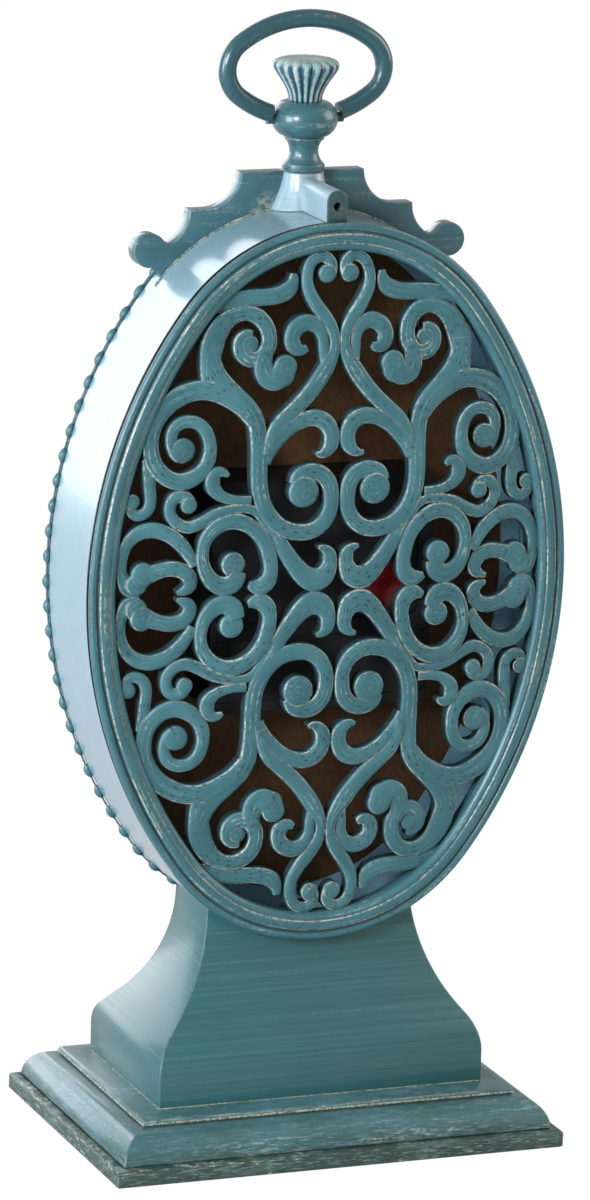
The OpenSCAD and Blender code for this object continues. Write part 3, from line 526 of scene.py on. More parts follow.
plinth_paint = aged_paint("brushed_teal_over_walnut_stain", "#53828a", "#639098", "#3a6058", stroke=(28, 28, 620),
                          rubbed=0.8, specks=0.3, hollow_tone=0.9, roughness=0.36, edge_r=0.0009, coat=0.35, dry=0.5,
                          undercoat=0.75, worn_z=(0.005, 0.0095))
slab_stain = aged_paint("teal_wash_on_walnut_stain", "#577e7a", "#789b92", "#374338", stroke=(60, 60, 900),
                        rubbed=0.7, specks=0.6, undercoat=0.9, dry=0.9)
pedestal_paint = aged_paint("brushed_teal_acrylic_on_wood", *WOOD_TEAL, stroke=(14, 14, 1300), rubbed=0.25,
                            specks=0.05, hollow_tone=0.45, roughness=0.34, coat=0.4, flow=0.45, patchy=0.15, dry=0.04)
# the sides of the bars are darkened as painted shade
grille_paint = aged_paint("rubbed_teal_acrylic_on_casting", *CAST_TEAL, mapped=True, stroke=(60, 1100, 900),
                          specks=0.95, hollow_tone=0.8, roughness=0.48, edge_r=0.0006, lines=(0.0,), outline=0.85,
                          flow=1.0, dry=0.6)
# the lines lie in the grooves of the rim, and a black line of painted shade where it meets the wall
rim_paint = aged_paint("rubbed_teal_acrylic_on_rim", *RIM_TEAL, mapped=True, stroke=MOULDING_STROKE, rubbed=0.4,
                       hollow_tone=0.7, edge_r=0.0005, lines=(0.01191, 0.01415), coat=0.3, dry=0.5, shaded_seam=(0.0058, 0.0012))
# its faces that look into the case are painted pale blue as painted light, and its rear end carries a black line of
# painted shade
wall_paint = aged_paint("glossy_teal_on_sheet", "#93b0b8", "#9dbac1", "#89a6af", mapped=True, stroke=(8, 300, 300),
                        rubbed=0.15, specks=0.1, hollow_tone=0.5, roughness=0.32, coat=1.0, flow=0.12, patchy=0.3,
                        dry=0.05, inner=INSIDE_PAINTED_LIGHT, shaded_seam=(0.0287, 0.0007))
# painted light and shade: the boss's pale body stands in for the sheen on its sides, and its rear end face is painted
# dark teal as painted shade
boss_paint = aged_paint("glossy_teal_on_boss", "#a3b9bf", "#b4c6cb", "#84a2aa", specks=0.3, hollow_tone=0.9,
                        roughness=0.3, coat=0.8, dry=0.08, flow=0.2, rear=("#2c4d4e", 0.01785))
board_paint = aged_paint("teal_acrylic_on_fretted_board", "#3e6d74", "#4a7981", "#356168", stroke=(30, 30, 500),
                         rubbed=0.7, specks=0.3, hollow_tone=0.8, roughness=0.34, coat=0.6,
                         smear=(0.0085, -0.0047, 0.2238, 0.0055))
finial_paint = aged_paint("teal_acrylic_on_turned_finial", "#38696f", "#447679", "#2e5a60", stroke=(60, 60, 500),
                          rubbed=0.7, specks=0.35, roughness=0.34, coat=0.5)
crown_paint = aged_paint("cream_rubbed_teal_on_crown", "#b7c8bf", "#cdd6c9", "#8aa9a8", stroke=(200, 200, 60),
                         rub="#e6e4d6", rubbed=1.0, specks=0.3, hollow_tone=0.95, edge_r=0.0006, coat=0.3, dry=0.6,
                         ribs=(18, 0.2585, "#34687a"))
bow_paint = aged_paint("teal_acrylic_on_bow", "#295a60", "#33666d", "#214d54", mapped=True, stroke=(50, 700, 700),
                       specks=0.3, hollow_tone=0.3, roughness=0.32, coat=0.5)
# the back of the moulding is painted pale blue as painted light
bezel_paint = aged_paint("rubbed_teal_acrylic_on_bezel", *RIM_TEAL, mapped=True, stroke=MOULDING_STROKE,
                         rubbed=0.6, roughness=0.34, edge_r=0.0005, coat=0.5, rear=(INSIDE_PAINTED_LIGHT, -0.0035))


def plain_finish(name, colour, second, scale, roughness, metallic=0.0, bump=0.3, depth=0.0001, stretch=(1, 1, 1)):
    """A moulded, plated or fibrous surface: two close tones in a grain of scale to a metre, with its own bump."""
    material, tree, shader = new_material(name)
    place = add(tree, "TexCoord").outputs["Object"]
    grain = noise(tree, scaled(tree, place, stretch), scale, 4.0, 0.6)
    tree.links.new(blend(tree, between(tree, grain, 0.35, 0.65), colour, second), shader.inputs["Base Color"])
    tree.links.new(between(tree, grain, 0.3, 0.7, roughness - 0.06, roughness + 0.06), shader.inputs["Roughness"])
    rise = add(tree, "Bump", [("Height", grain)], i0=bump, i1=depth)
    tree.links.new(rise.outputs[0], shader.inputs["Normal"])
    shader.inputs["Metallic"].default_value = metallic
    return material


# fine spark-eroded texture of moulded ABS, grit about 0.3 mm
black_abs = plain_finish("textured_black_abs", "#17181a", "#1f2123", 3200, 0.46, bump=0.25)
# glossy dyed styrene, faint flow marks
red_styrene = plain_finish("dyed_red_styrene", "#b0121d", "#bd1e28", 300, 0.3, bump=0.08)
# rolled brass with a bright pass
bright_brass = plain_finish("bright_rolled_brass", "#b8954f", "#c9a862", 900, 0.3, metallic=1.0, bump=0.15,
                            stretch=(1, 1, 6))
# zinc plate, faint spangle
zinc_plate = plain_finish("zinc_plated_steel", "#93979a", "#a4a8aa", 700, 0.38, metallic=1.0, bump=0.15)
nickel_strip = plain_finish("nickel_plated_strip", "#c3c4c2", "#d2d3d0", 600, 0.28, metallic=1.0, bump=0.1,
                            stretch=(1, 8, 1))
# pressed brown fibres, 1 to 2 mm long
fibreboard = plain_finish("brown_hardboard", "#6b4a2d", "#7d5a39", 1100, 0.75, bump=0.5, depth=0.0003,
                          stretch=(1, 1, 0.5))
dial_card = plain_finish("cream_dial_paper", "#eae2cb", "#f2ecd9", 260, 0.62, bump=0.1)
white_card = plain_finish("white_spacer_card", "#e3dfd2", "#ece9de", 900, 0.7, bump=0.25)
black_enamel = plain_finish("black_lacquered_steel", "#15181b", "#1d2125", 500, 0.28, bump=0.05)
# rough cream wood filler, stained by the wax
dried_filler = plain_finish("dried_cream_filler", "#bcbda4", "#4d6462", 1500, 0.7, bump=0.6, depth=0.0003)
printed_ink = plain_finish("black_printing_ink", "#1d1b19", "#26231f", 1500, 0.55, bump=0.1)


def float_glass():
    """Clear float glass: smooth, with the faintest dust in its gloss."""
    material, tree, shader = new_material("clear_float_glass")
    dust = noise(tree, add(tree, "TexCoord").outputs["Object"], 140.0, 4.0)
    tree.links.new(between(tree, dust, 0.45, 0.75, 0.0, 0.06), shader.inputs["Roughness"])
    shader.inputs["Base Color"].default_value = linear("#f4faf9")
    shader.inputs["Transmission Weight"].default_value = 1.0
    shader.inputs["IOR"].default_value = 1.5
    return material


def cell_jacket():
    """Printed foil on a dry cell: grey with a plain darker band towards one end."""
    material, tree, shader = new_material("printed_foil_cell_jacket")
    place = add(tree, "TexCoord").outputs["Object"]
    band = between(tree, split(tree, place)[0], 0.008, 0.0083)
    haze = noise(tree, place, 400.0, 3.0)
    colour = blend(tree, band, "#8b8f92", "#2f3538")
    tree.links.new(blend(tree, between(tree, haze, 0.4, 0.7, 0.0, 0.3), colour, "#5d6265"), shader.inputs["Base Color"])
    tree.links.new(between(tree, haze, 0.3, 0.7, 0.22, 0.34), shader.inputs["Roughness"])
    shader.inputs["Metallic"].default_value = 0.6
    return material


for node, finish in {
    "base_plinth": plinth_paint, "pedestal": pedestal_paint, "pedestal_screws": zinc_plate, "drum_shell": wall_paint,
    "drum_screws": zinc_plate, "front_bezel": bezel_paint, "bead_trim": bezel_paint, "dial_glass": float_glass(),
    "glass_spacer": white_card, "dial_face": dial_card, "dial_board": fibreboard, "board_screws": bright_brass,
    "movement_front_case": black_abs, "movement_rear_case": black_abs, "battery": cell_jacket(),
    "battery_contacts": nickel_strip, "battery_cover": black_abs, "setting_knob": red_styrene,
    "bushing_washer": bright_brass, "bushing_nut": bright_brass, "hour_hand": black_enamel, "minute_hand": black_enamel,
    "hand_nut": bright_brass, "pediment": board_paint, "rear_boss": boss_paint, "finial_neck": finial_paint,
    "finial_ball": finial_paint, "winding_crown": crown_paint, "crown_stud": zinc_plate, "bow": bow_paint,
    "rear_rim": rim_paint, "scroll_grille": grille_paint,
}.items():
    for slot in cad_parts[node].material_slots:
        slot.material = finish


# ---- base -----------------------------------------------------------------------------------

# half the base's width and depth, and how far from the middle the pedestal's screws stand
BASE_W, BASE_D = 57.0, 40.5
SCREW_X = 22


def base_level(inset, z):
    """One level of the base, drawn in by inset."""
    return z, BASE_W - inset, BASE_D - inset, BASE_D - inset


def make_slab():
    slab = stepped([base_level(0.35, 0), base_level(0, 0.35), base_level(0, 3.7), base_level(0.5, 4.15),
                    base_level(2.3, 4.25), base_level(2.3, 3.9), base_level(3.4, 3.9)])
    for side in (-1, 1):
        cut(slab, rod(4.4, (side * SCREW_X, 0, -1), (side * SCREW_X, 0, 4.0)))
    eased(slab, 0.3)
    return placed(slab, "base_slab", "case", slab_stain, ["base_plinth"])


def make_plinth():
    ovolo = [base_level(9.6 - c, s) for c, s in arc(0, 4.1, 7.3, 4, 88, 12)]
    levels = [base_level(3.4, 3.95), base_level(2.6, 3.95)] + ovolo
    levels += [base_level(9.75, 11.45), base_level(9.85, 11.75), base_level(9.5, 12.0), base_level(9.6, 12.75),
               base_level(10.1, 13.0), (13.55, 41.4, 24.9, 24.9), (13.55, 39, 22, 22)]
    plinth = stepped(levels)
    eased(plinth, 0.35, angle=60)
    return placed(plinth, "base_moulding", "case", plinth_paint, smooth=28)


def drum_block(y0, y1):
    """What is cut out of a piece that lies against the drum, 0.1 mm clear of its wall, from y0 to y1."""
    turns = oval_turns(1.6)[:-1]
    return skinned([[(x, y, CASE_Z + z) for x, z in (on_oval(t, 0.5) for t, _ in turns)] for y in (y0, y1)])


def flare(half, shoulder, hollow, slope, z):
    """Half width of one side of the pedestal at height z.

    The side is a band, a round shoulder of that radius and a long hollow that meets it at slope."""
    band_top = 21.0
    cx = half - shoulder
    meet = band_top + shoulder * math.sin(math.radians(slope))
    if z <= band_top:
        return half
    if z <= meet:
        return cx + math.sqrt(shoulder ** 2 - (z - band_top) ** 2)
    hub_x = cx + (shoulder + hollow) * math.cos(math.radians(slope))
    hub_z = band_top + (shoulder + hollow) * math.sin(math.radians(slope))
    return hub_x - math.sqrt(hollow ** 2 - (hub_z - z) ** 2)


def make_pedestal():
    heights = [13.6, 20.2, 21] + [21 + 1.1 * i for i in range(1, 38)] + [66.6]
    side, rear, front = (41.4, 14, 46, 42), (24.9, 14, 110, 27), (24.9, 6, 34, 54)
    pedestal = stepped([(z, flare(*side, z), flare(*rear, z), flare(*front, z)) for z in heights])
    cut(pedestal, drum_block(-45, 45))
    eased(pedestal, 0.45, angle=50)
    return placed(pedestal, "pedestal_block", "case", pedestal_paint, ["pedestal"], smooth=30)


def make_foot_filler():
    """Thin lines of filler where the pedestal stands on the plinth and in the plinth's step."""
    foot = stepped([(13.02, 42.1, 25.6, 25.6), (13.3, 41.9, 25.4, 25.4), (13.75, 41.3, 24.8, 24.8)])
    step = stepped([base_level(9.35, 11.75), base_level(9.3, 12.0), base_level(9.6, 12.3)])
    return placed(joined([foot, step]), "base_filler", "case", dried_filler)


make_slab()
make_plinth()
make_pedestal()
make_foot_filler()


# ---- case -----------------------------------------------------------------------------------

def make_wall():
    """The drum's wall, its rear end 0.7 mm short of the part's, so that the dark seam at the rim shows."""
    outer, inner, end = 0.6, 1.8, WALL_REAR - 0.7
    wall = moulded([(outer, WALL_FRONT + 0.1), (outer + 0.1, WALL_FRONT), (inner - 0.1, WALL_FRONT),
                    (inner, WALL_FRONT + 0.1), (inner, end - 0.1), (inner - 0.1, end), (outer + 0.1, end),
                    (outer, end - 0.1)])
    return placed(wall, "drum_wall", "case", wall_paint, ["drum_shell"], smooth=30)


def make_bezel():
    nose = 3.8
    round_over = [(1.2 + nose - c, BEZEL_Y + nose - s) for c, s in arc(0, 0, nose, 0, 90, 12)]
    groove = [(7.2, BEZEL_Y), (7.4, BEZEL_Y + 0.35), (7.8, BEZEL_Y + 0.35), (8.0, BEZEL_Y)]
    lip = arc(10.4, BEZEL_Y + 0.9, 0.9, -90, 0, 5)
    ledges = [(11.3, BEZEL_Y + 1.8), (9.3, BEZEL_Y + 1.8), (9.3, -6.6), (6.9, -6.6), (6.9, -3.1),
              (1.9, -3.1), (1.9, -9.3), (1.6, -9.3), (1.6, -11.7), (1.2, -11.7)]
    bezel = moulded(round_over + groove + lip + ledges)
    # the holes of the dial board's screws
    for x, z in ((52.3, 0), (-52.3, 0), (0, 79), (0, -79)):
        cut(bezel, rod(0.9, (x, -10.6, CASE_Z + z), (x, -2.9, CASE_Z + z), 16))
    return placed(bezel, "front_moulding", "case", bezel_paint, ["front_bezel"], smooth=30)


def make_beads():
    """Spindle beads on a fine wire: one is turned, and the rest are its copies."""
    count, length, width, wire = 76, 3.9, 2.2, 0.24
    lens = (length ** 2 + width ** 2) / (4 * width)
    profile = [(wire, -3.1), (wire, -length / 2)]
    for z in (-1.95, -1.7, -1.3, -0.8, -0.3, 0.3, 0.8, 1.3, 1.7, 1.95):
        profile.append((max(math.sqrt(lens ** 2 - z ** 2) + width / 2 - lens, 0.27), z))
    bead = turned(profile + [(wire, length / 2), (wire, 3.1)], sides=10)
    turns = oval_turns(0.5)
    pitch = turns[-1][1] / count
    beads, next_run, index = [], pitch / 2, 0
    while len(beads) < count:
        while turns[index + 1][1] < next_run:
            index += 1
        (t0, r0), (t1, r1) = turns[index], turns[index + 1]
        turn = t0 + (t1 - t0) * (next_run - r0) / (r1 - r0)
        x, z = on_oval(turn, 0.4)
        # the bead's own axis lies along the rim, square to the outward direction
        spin = Matrix.Rotation(-math.radians(turn), 4, "Y")
        beads.append(copied(bead, Matrix.Translation((x, WALL_FRONT - 1.2, CASE_Z + z)) @ spin))
        next_run += pitch
    bpy.data.objects.remove(bead)
    return placed(joined(beads), "bead_row", "case", bezel_paint, ["bead_trim"], smooth=60)


make_wall()
make_bezel()
make_beads()


# ---- top ------------------------------------------------------------------------------------

def make_pediment():
    """Two fretted boards, mirrored, with a gap in the middle for the block under the finial."""
    inner_x, scoop, thick = 4.6, 8.5, 4.3
    outline = [(inner_x, PED_TOP), (15.6, PED_TOP)]
    outline += arc(15.6 + scoop, PED_TOP, scoop, 180, 270, 14)[1:]
    outline += [(28.3, PED_TOP - scoop)]
    outline += arc(36.5, PED_TOP - 9.0, 8.2, 184, 247, 12)
    # the round ear, and below it the foot that lies on the drum
    outline += arc(37.9, PED_TOP - scoop - 9.4, 4.1, 150, -95, 26)
    outline += [(36.3, 210.4), (35.6, 209.6)]
    outline += [(x, z + CASE_Z) for x, z in (on_oval(t, 0.5) for t in range(36, 86)) if inner_x < x < 35.4]
    outline += [(inner_x, CASE_Z + on_oval(86, 0.5)[1])]
    board = plate(outline, PED_BACK - thick, PED_BACK)
    twin = copied(board, Matrix.Scale(-1, 4, (1, 0, 0)))
    both = eased(joined([board, twin]), 0.28, angle=40)
    return placed(both, "pediment_boards", "case", board_paint, ["pediment"], smooth=35)


def make_glue():
    """The squeezed-out line of cream filler where the boards stand on the drum."""
    lines = []
    for span in (range(38, 85, 1), range(95, 143, 1)):
        stations = []
        for k in span:
            x, z = on_oval(k, 0.42)
            # the line swells and thins unevenly, as squeezed-out filler does
            r = 0.24 + 0.1 * math.sin(k * 1.7) * math.sin(k * 0.61)
            out = Vector((math.cos(math.radians(k)), 0, math.sin(math.radians(k))))
            middle = Vector((x, PED_BACK + 0.1, CASE_Z + z))
            stations.append([middle + out * (r * c) + Vector((0, r * s, 0)) for c, s in arc(0, 0, 1, 0, 315, 7)])
        lines.append(skinned(stations))
    return placed(joined(lines), "filler_line", "case", dried_filler)


def make_boss():
    """The bar that runs back over the case to the screw hole, its flared foot under the finial, and the block
    that fills the gap between the boards."""
    half, top, hole_z = 2.65, 232.3, 228.4
    section = [(-half, 223.5), (half, 223.5)] + arc(0, top - half, half, 0, 180, 16)
    bar = eased(plate(section, TOP_Y - 4.1, 18.2), 0.3, angle=60)
    foot = turned([(8.6, 222.5), (7.3, 225.4), (6.0, 228.6), (5.2, 231.2), (4.9, 233.0), (4.5, 233.2)], TOP_Y)
    block = stepped([(z, 4.5, PED_BACK, 4.25 - PED_BACK) for z in (223.3, 233.1)])
    for extra in (foot, block):
        cut(bar, extra, "UNION")
    cut(bar, drum_block(-20, 25))
    cut(bar, rod(1.0, (0, 8.2, hole_z), (0, 19.5, hole_z)))
    return placed(bar, "hanging_boss", "case", boss_paint, ["rear_boss"], smooth=35)


def make_neck():
    profile = [(4.6, 233.3), (5.0, 233.6), (5.1, 234.3), (5.0, 235.0), (4.5, 235.35)]
    profile += [(7.35 - r, z) for r, z in arc(0, 238.1, 3.9, -44, 44, 12)]
    profile += [(4.7, 240.85), (4.8, 241.1), (4.75, 241.4)]
    neck = turned(profile, TOP_Y)
    return placed(neck, "finial_neck_turning", "case", finial_paint, ["finial_neck"])


def make_ball():
    profile = [(5.1, 241.6), (5.4, 241.75)]
    profile += [(3.3 + r, z) for r, z in arc(0, BALL_Z, 4.6, -56, 56, 20)]
    profile += [(5.4, 249.75), (4.9, 249.9)]
    ball = turned(profile, TOP_Y)
    for side in (-1, 1):
        cut(ball, rod(1.26, (side * 4.4, TOP_Y, BALL_Z), (side * 9, TOP_Y, BALL_Z), 24))
    return placed(ball, "finial_ball_turning", "case", finial_paint, ["finial_ball"], smooth=50)


def make_crown():
    """The fluted crown: each station's outline swells at the ribs, and the flutes run in over its domed top."""
    ribs = 18
    sides = ribs * 8
    profile = [(3.9, 250.0), (4.05, 250.3), (4.2, 251.4), (4.7, 252.8), (5.5, 254.2), (6.5, 255.7), (7.4, 257.0),
               (7.9, 258.0), (7.95, 258.7), (7.6, 259.3), (6.7, 259.8), (5.2, 260.1), (3.4, 260.25), (1.6, 260.3),
               (0.4, 260.3)]
    stations = []
    for r, z in profile:
        depth = min(0.85, 0.16 * r) * (1 if z < 259.9 else 0.55)
        row = []
        for a in (2 * math.pi * i / sides for i in range(sides)):
            reach = r - depth * (1 - abs(math.sin(ribs * a / 2)) ** 0.7)
            row.append((math.cos(a) * reach, TOP_Y + math.sin(a) * reach, z))
        stations.append(row)
    return placed(skinned(stations), "fluted_crown", "case", crown_paint, ["winding_crown"], smooth=60)


def make_bow():
    """The bow's round bar follows an oval of four arcs lying on its side, and stops at the ball on both sides."""
    t, r, bar, middle_z, ball_side = 3.95, 7.9, 2.15, 257.6, 8.15
    path = []
    for a, _ in oval_turns(0.7, t, r)[:-1]:
        x, z = on_oval(a, 0.0, t, r)
        path.append((Vector((-z, 0, x)), Vector((-math.sin(math.radians(a)), 0, math.cos(math.radians(a))))))
    # it starts at the bottom of the oval, and the part that would run through the ball is left out
    low = min(range(len(path)), key=lambda i: path[i][0].z)
    path = [p for p in path[low:] + path[:low] if p[0].z >= -5 or abs(p[0].x) >= ball_side]
    stations = []
    for place, out in path:
        middle = place + Vector((0, TOP_Y, middle_z))
        stations.append([middle + bar * (out * c + Vector((0, s, 0))) for c, s in arc(0, 0, 1, 0, 342, 19)])
    ring = skinned(stations)
    pins = [rod(1.2, (side * 6.4, TOP_Y, BALL_Z), (side * 9.6, TOP_Y, BALL_Z), 24) for side in (-1, 1)]
    return placed(joined([ring] + pins), "carrying_bow", "bow", bow_paint, ["bow"], smooth=50)


make_pediment()
make_glue()
make_boss()
make_neck()
make_ball()
make_crown()
make_bow()


# ---- rear cover -----------------------------------------------------------------------------

def make_rim():
    """The cover's moulded frame: a push-fit skirt, an outer roll and a face with two grooves."""
    skirt = [(3.3, -4.5), (2.1, -4.5), (2.1, -0.15), (1.95, 0), (1.3, 0.05)]
    roll = [(1.3 - c, s) for c, s in arc(0, 1.2, 1.05, -70, 135, 14)]
    face = [(2.12, 1.72), (2.3, 1.6), (2.48, 1.72), (2.7, 2.15), (3.0, 2.42), (3.4, 2.52), (4.0, 2.54), (4.6, 2.5),
            (4.85, 2.38), (5.0, 2.18), (5.15, 2.16), (5.35, 2.3), (5.7, 2.28), (6.2, 2.05), (6.6, 1.7),
            (6.85, 1.2), (6.9, 0.8), (6.9, -2.4), (5.8, -2.4), (5.8, -0.1), (3.45, -0.1), (3.3, -0.3)]
    rim = moulded([(inset, RIM_Y + rise) for inset, rise in skirt + roll + face], 1.3)
    return placed(rim, "cover_rim", "rear_cover", rim_paint, ["rear_rim"], smooth=42)


# the bars' paths on the drawn quarter, as rows of x, z and half the bar's width there
SCROLLS = [
    # tall double curve beside the axis, from its top curl down to the long bar
    [(3, 70.6, 2), (2, 71.6, 1.8), (1.75, 73.2, 1.6), (2.7, 74.6, 1.5), (4.4, 74.9, 1.5), (6.3, 73.8, 1.5),
     (7.3, 71.4, 1.45), (7.35, 69, 1.5), (6.7, 66.8, 1.6), (5.1, 64, 1.7), (3.2, 61.4, 1.7), (1.8, 59, 1.6),
     (1.2, 56.6, 1.35), (1.35, 54, 1.5), (2.5, 51.6, 1.9), (4.1, 49, 2.1), (6.3, 46, 2.05), (9, 43, 2),
     (12, 40.3, 1.95), (14.6, 37.9, 1.8), (16.2, 35, 1.5), (16.9, 31.5, 1.2)],
    # hook that leaves it near the top
    [(3.3, 50, 1.1), (3.7, 54, 1.3), (3.9, 57, 1.4), (5.1, 59.5, 1.8), (7.6, 60.5, 2.1), (10.1, 59.3, 2.15),
     (11.1, 57.1, 2), (10.4, 55.1, 1.95), (8.9, 54.5, 1.4), (7.7, 55, 0.8)],
    # leaf that springs from the rim
    [(30, 63.6, 1.2), (24, 65.6, 2.1), (20, 66.2, 2.15), (17, 66.3, 2.1), (14, 66.7, 2.15), (11.8, 67.7, 2.1),
     (10.6, 69.4, 1.6), (10.4, 71.4, 0.8)],
    # upper loop along the rim and its inner curl
    [(29.9, 47.5, 2.1), (29.8, 51.5, 2.5), (29.2, 56, 2.9), (27.3, 60, 2.6), (24.6, 62.3, 2.1), (21.6, 63, 1.9),
     (18.8, 62.1, 2), (16.9, 59.8, 2), (16.3, 57, 2), (17, 54.5, 2.05), (18.9, 52.9, 2), (21.1, 52.9, 2),
     (22.7, 54.4, 1.95), (22.9, 56.6, 1.85), (21.7, 58, 1.6), (20.3, 58, 1.4)],
    # ball that hangs from the upper loop
    [(16.9, 55.5, 1.8), (17.4, 53.4, 2), (17.65, 51.5, 2.4), (17.3, 49.9, 2.7), (16.4, 48.8, 2.95),
     (15.1, 48.4, 3), (13.9, 48.75, 2.7), (13.3, 49.5, 1.9)],
    # long bar down to the central spiral
    [(29.7, 55.4, 2.5), (29.6, 52.6, 2.6), (28.5, 49.8, 2.5), (26.3, 47.1, 2.3), (23.4, 44.4, 2.15),
     (20.8, 41.6, 2.15), (19.3, 38.3, 2.15), (18.8, 34, 2.2), (18.75, 30, 2.2), (18.75, 26, 2.15),
     (18.3, 22.2, 2.15), (17, 18.9, 2.1), (14.9, 16.1, 2.1), (12.3, 14.4, 2.1), (9.3, 13.7, 2.1), (6.3, 14, 2.05),
     (3.7, 15.7, 2), (2.15, 18.5, 1.95), (1.9, 21.5, 2), (2.5, 24.5, 2.1), (4.4, 26.7, 2.1), (6.9, 27.3, 2.15),
     (9.2, 26.3, 2.3), (10.2, 24.4, 2)],
    # outer spiral beside the rim
    [(20.4, 38.5, 1.3), (22.5, 41.7, 1.9), (25.5, 44.1, 2.2), (28.8, 45.8, 2.4), (32.2, 46.2, 2.45),
     (35.7, 45.3, 2.45), (38.9, 43.3, 2.4), (41.3, 40.4, 2.3), (42.7, 37, 2.15), (43, 33.5, 2.1),
     (42.3, 30.3, 2.1), (40.6, 27.8, 2.1), (38.3, 26.3, 2.1), (36, 25.9, 2.15), (33.6, 26.7, 2.1),
     (31.4, 28.4, 1.95), (30.1, 31, 1.8), (29.85, 34, 1.65), (30.6, 36.8, 1.65), (32.3, 38.7, 1.6),
     (34.7, 39.3, 1.6), (36.9, 38.6, 1.6), (38.2, 36.8, 1.55), (38.4, 34.4, 1.5), (37.7, 32.3, 1.5),
     (36.6, 31.2, 1.4)],
    # tail that runs down from it to a small curl at the rim
    [(43.4, 31, 1.7), (43.2, 27.5, 1.65), (43, 24, 1.55), (42.9, 21.3, 1.5), (43.7, 19.3, 1.5), (45.6, 18.4, 1.45),
     (47.2, 19.4, 1.35), (47.6, 21, 1.2)],
    # small spiral, passing over the middle loop and down to the hook at the centre
    [(34.2, 21.2, 1.6), (35.3, 22.4, 1.6), (37.4, 22.3, 1.6), (38.5, 20.6, 1.5), (38.4, 18.4, 1.5),
     (36.9, 16.5, 1.55), (34.4, 15.6, 1.6), (31.5, 16.6, 1.6), (28.2, 18.4, 1.5), (24.8, 19.5, 1.2),
     (21.5, 19.5, 1.15), (19.3, 18.7, 1.2), (17.5, 16.8, 1.45), (15.6, 14.4, 1.75), (13.9, 11.8, 1.95),
     (12.2, 9.1, 2.05), (10.3, 6.5, 2.2), (8.2, 4.1, 2.5), (5.7, 2.7, 2.95), (3.3, 3.5, 2.7), (2, 5.9, 2.05),
     (2.1, 8.3, 1.8), (3.3, 9.7, 1.1), (4.7, 10.1, 0.5)],
    # hook under the outer spiral
    [(20.6, 21.4, 1.1), (24, 21.5, 1.15), (26.9, 22.3, 1.4), (28.9, 24.1, 1.8), (29.2, 26.2, 1.9),
     (28.2, 27.8, 1.5), (26.8, 27.8, 1.1), (25.8, 27.1, 0.5)],
    # middle loop
    [(20.8, 2.3, 0.8), (19.4, 1.8, 1.7), (17.8, 1.8, 2.15), (16.3, 3.1, 2.1), (15.75, 5.4, 1.85), (16, 8, 1.9),
     (16.9, 11, 1.9), (18.6, 13.7, 1.9), (20.9, 15.7, 1.95), (23.5, 16.7, 2.05), (26.2, 16.5, 1.95),
     (28.7, 15.2, 1.9), (30.6, 12.8, 1.75), (31.3, 10, 1.6), (31.1, 7.2, 1.7), (30.1, 4.7, 1.9), (28.3, 2.8, 2.2),
     (26, 2.1, 2.4), (24, 3.2, 2.4), (23.2, 5.4, 1.95)],
    # lobe at the side
    [(33, 7, 1.3), (34.3, 9.4, 1.6), (36.3, 12, 1.8), (39, 14.1, 1.9), (42.4, 15.1, 1.95), (45.6, 14.3, 1.85),
     (47.9, 12, 1.6), (49, 9, 1.45), (49.1, 6.2, 1.4), (48.6, 3.9, 1.8), (47.2, 2.4, 2.6), (45.4, 2.5, 2.7)],
    # arm from the lobe's ball back to the axis of the pattern
    [(43, 5, 2.2), (40.5, 5.9, 1.9), (37.9, 6.3, 1.95), (35.3, 5.6, 2), (33.9, 3.8, 1.9), (34.2, 2, 1.7),
     (35.6, 1.1, 1.1), (36.8, 0.8, 0.5)],
    # hook above the central spiral
    [(17.3, 29.5, 1.3), (16.4, 32, 1.7), (14.5, 34.7, 1.9), (11.9, 37.2, 1.95), (8.9, 38.8, 2), (5.9, 39.3, 2.1),
     (3.4, 38.2, 2.15), (1.95, 35.9, 2), (2, 33.4, 1.95), (3.2, 31.7, 1.5), (4.6, 31.1, 0.95), (5.6, 31.4, 0.45)],
]
# round ends and cores of the spirals as x, z, radius and how far they stand above the bars
BULBS = [(2.65, 71.2, 2.3, 0.12), (20.7, 56, 2.3, -0.2), (12.75, 50.85, 3, 0.1), (13.4, 49.2, 3.2, -0.1),
         (8.45, 22.85, 3.85, 0.12), (35.8, 32.8, 3.1, -0.15), (46.95, 21.5, 1.95, 0.1), (34.5, 20.6, 2.05, 0.1),
         (24.4, 7, 3.05, 0.08), (44.4, 5, 3.05, 0.1), (45.7, 2.9, 2.8, 0.06)]
BAR_DEPTH = 3.1
# how far each bar stands above or below its neighbours, as carved
LIFTS = [0.1, -0.1, -0.25, -0.05, 0.05, 0.0, 0.1, -0.1, -0.15, 0.05, 0.15, 0.0, -0.1, -0.2]


def dome(x, z):
    """Height of the domed front of the bars at a place on the drawn quarter."""
    rim_height, rise = 19.9, 6
    return rim_height + rise * (1 - (x / DRAWN_X) ** 2 - (z / DRAWN_Z) ** 2)


def make_bar(points, lift):
    """One bar of the scrollwork: a nearly flat top, rolled edges and straight sides, drawn along its curve."""
    line = through(points, 5)
    stations, across = [], []
    for i, (x, z, w) in enumerate(line):
        ax, az, _ = line[max(i - 1, 0)]
        bx, bz, _ = line[min(i + 1, len(line) - 1)]
        size = math.hypot((bx - ax) * GRID_X, (bz - az) * GRID_Z)
        sx, sz = (bz - az) * GRID_Z / size, -(bx - ax) * GRID_X / size
        roll = min(0.8, 0.5 * w)
        # half the section, as shares of the half width and depths below the top
        half = [(0.0, 0.0), (1 - roll * 1.5 / w, -0.05), (1 - roll * 0.85 / w, -0.14 * roll - 0.05),
                (1 - roll * 0.35 / w, -0.42 * roll), (1 - roll * 0.08 / w, -0.8 * roll), (1.0, -1.3 * roll),
                (0.99, -BAR_DEPTH)]
        section = half + [(-c, d) for c, d in half[:0:-1]]
        y = dome(x, z) + lift
        stations.append([(x * GRID_X + c * w * sx, y + d, z * GRID_Z + c * w * sz) for c, d in section])
        inward = [w * (1 - abs(c)) + d for c, d in section]
        across.append(inward + inward[:1])
    return skinned(stations, across=across)


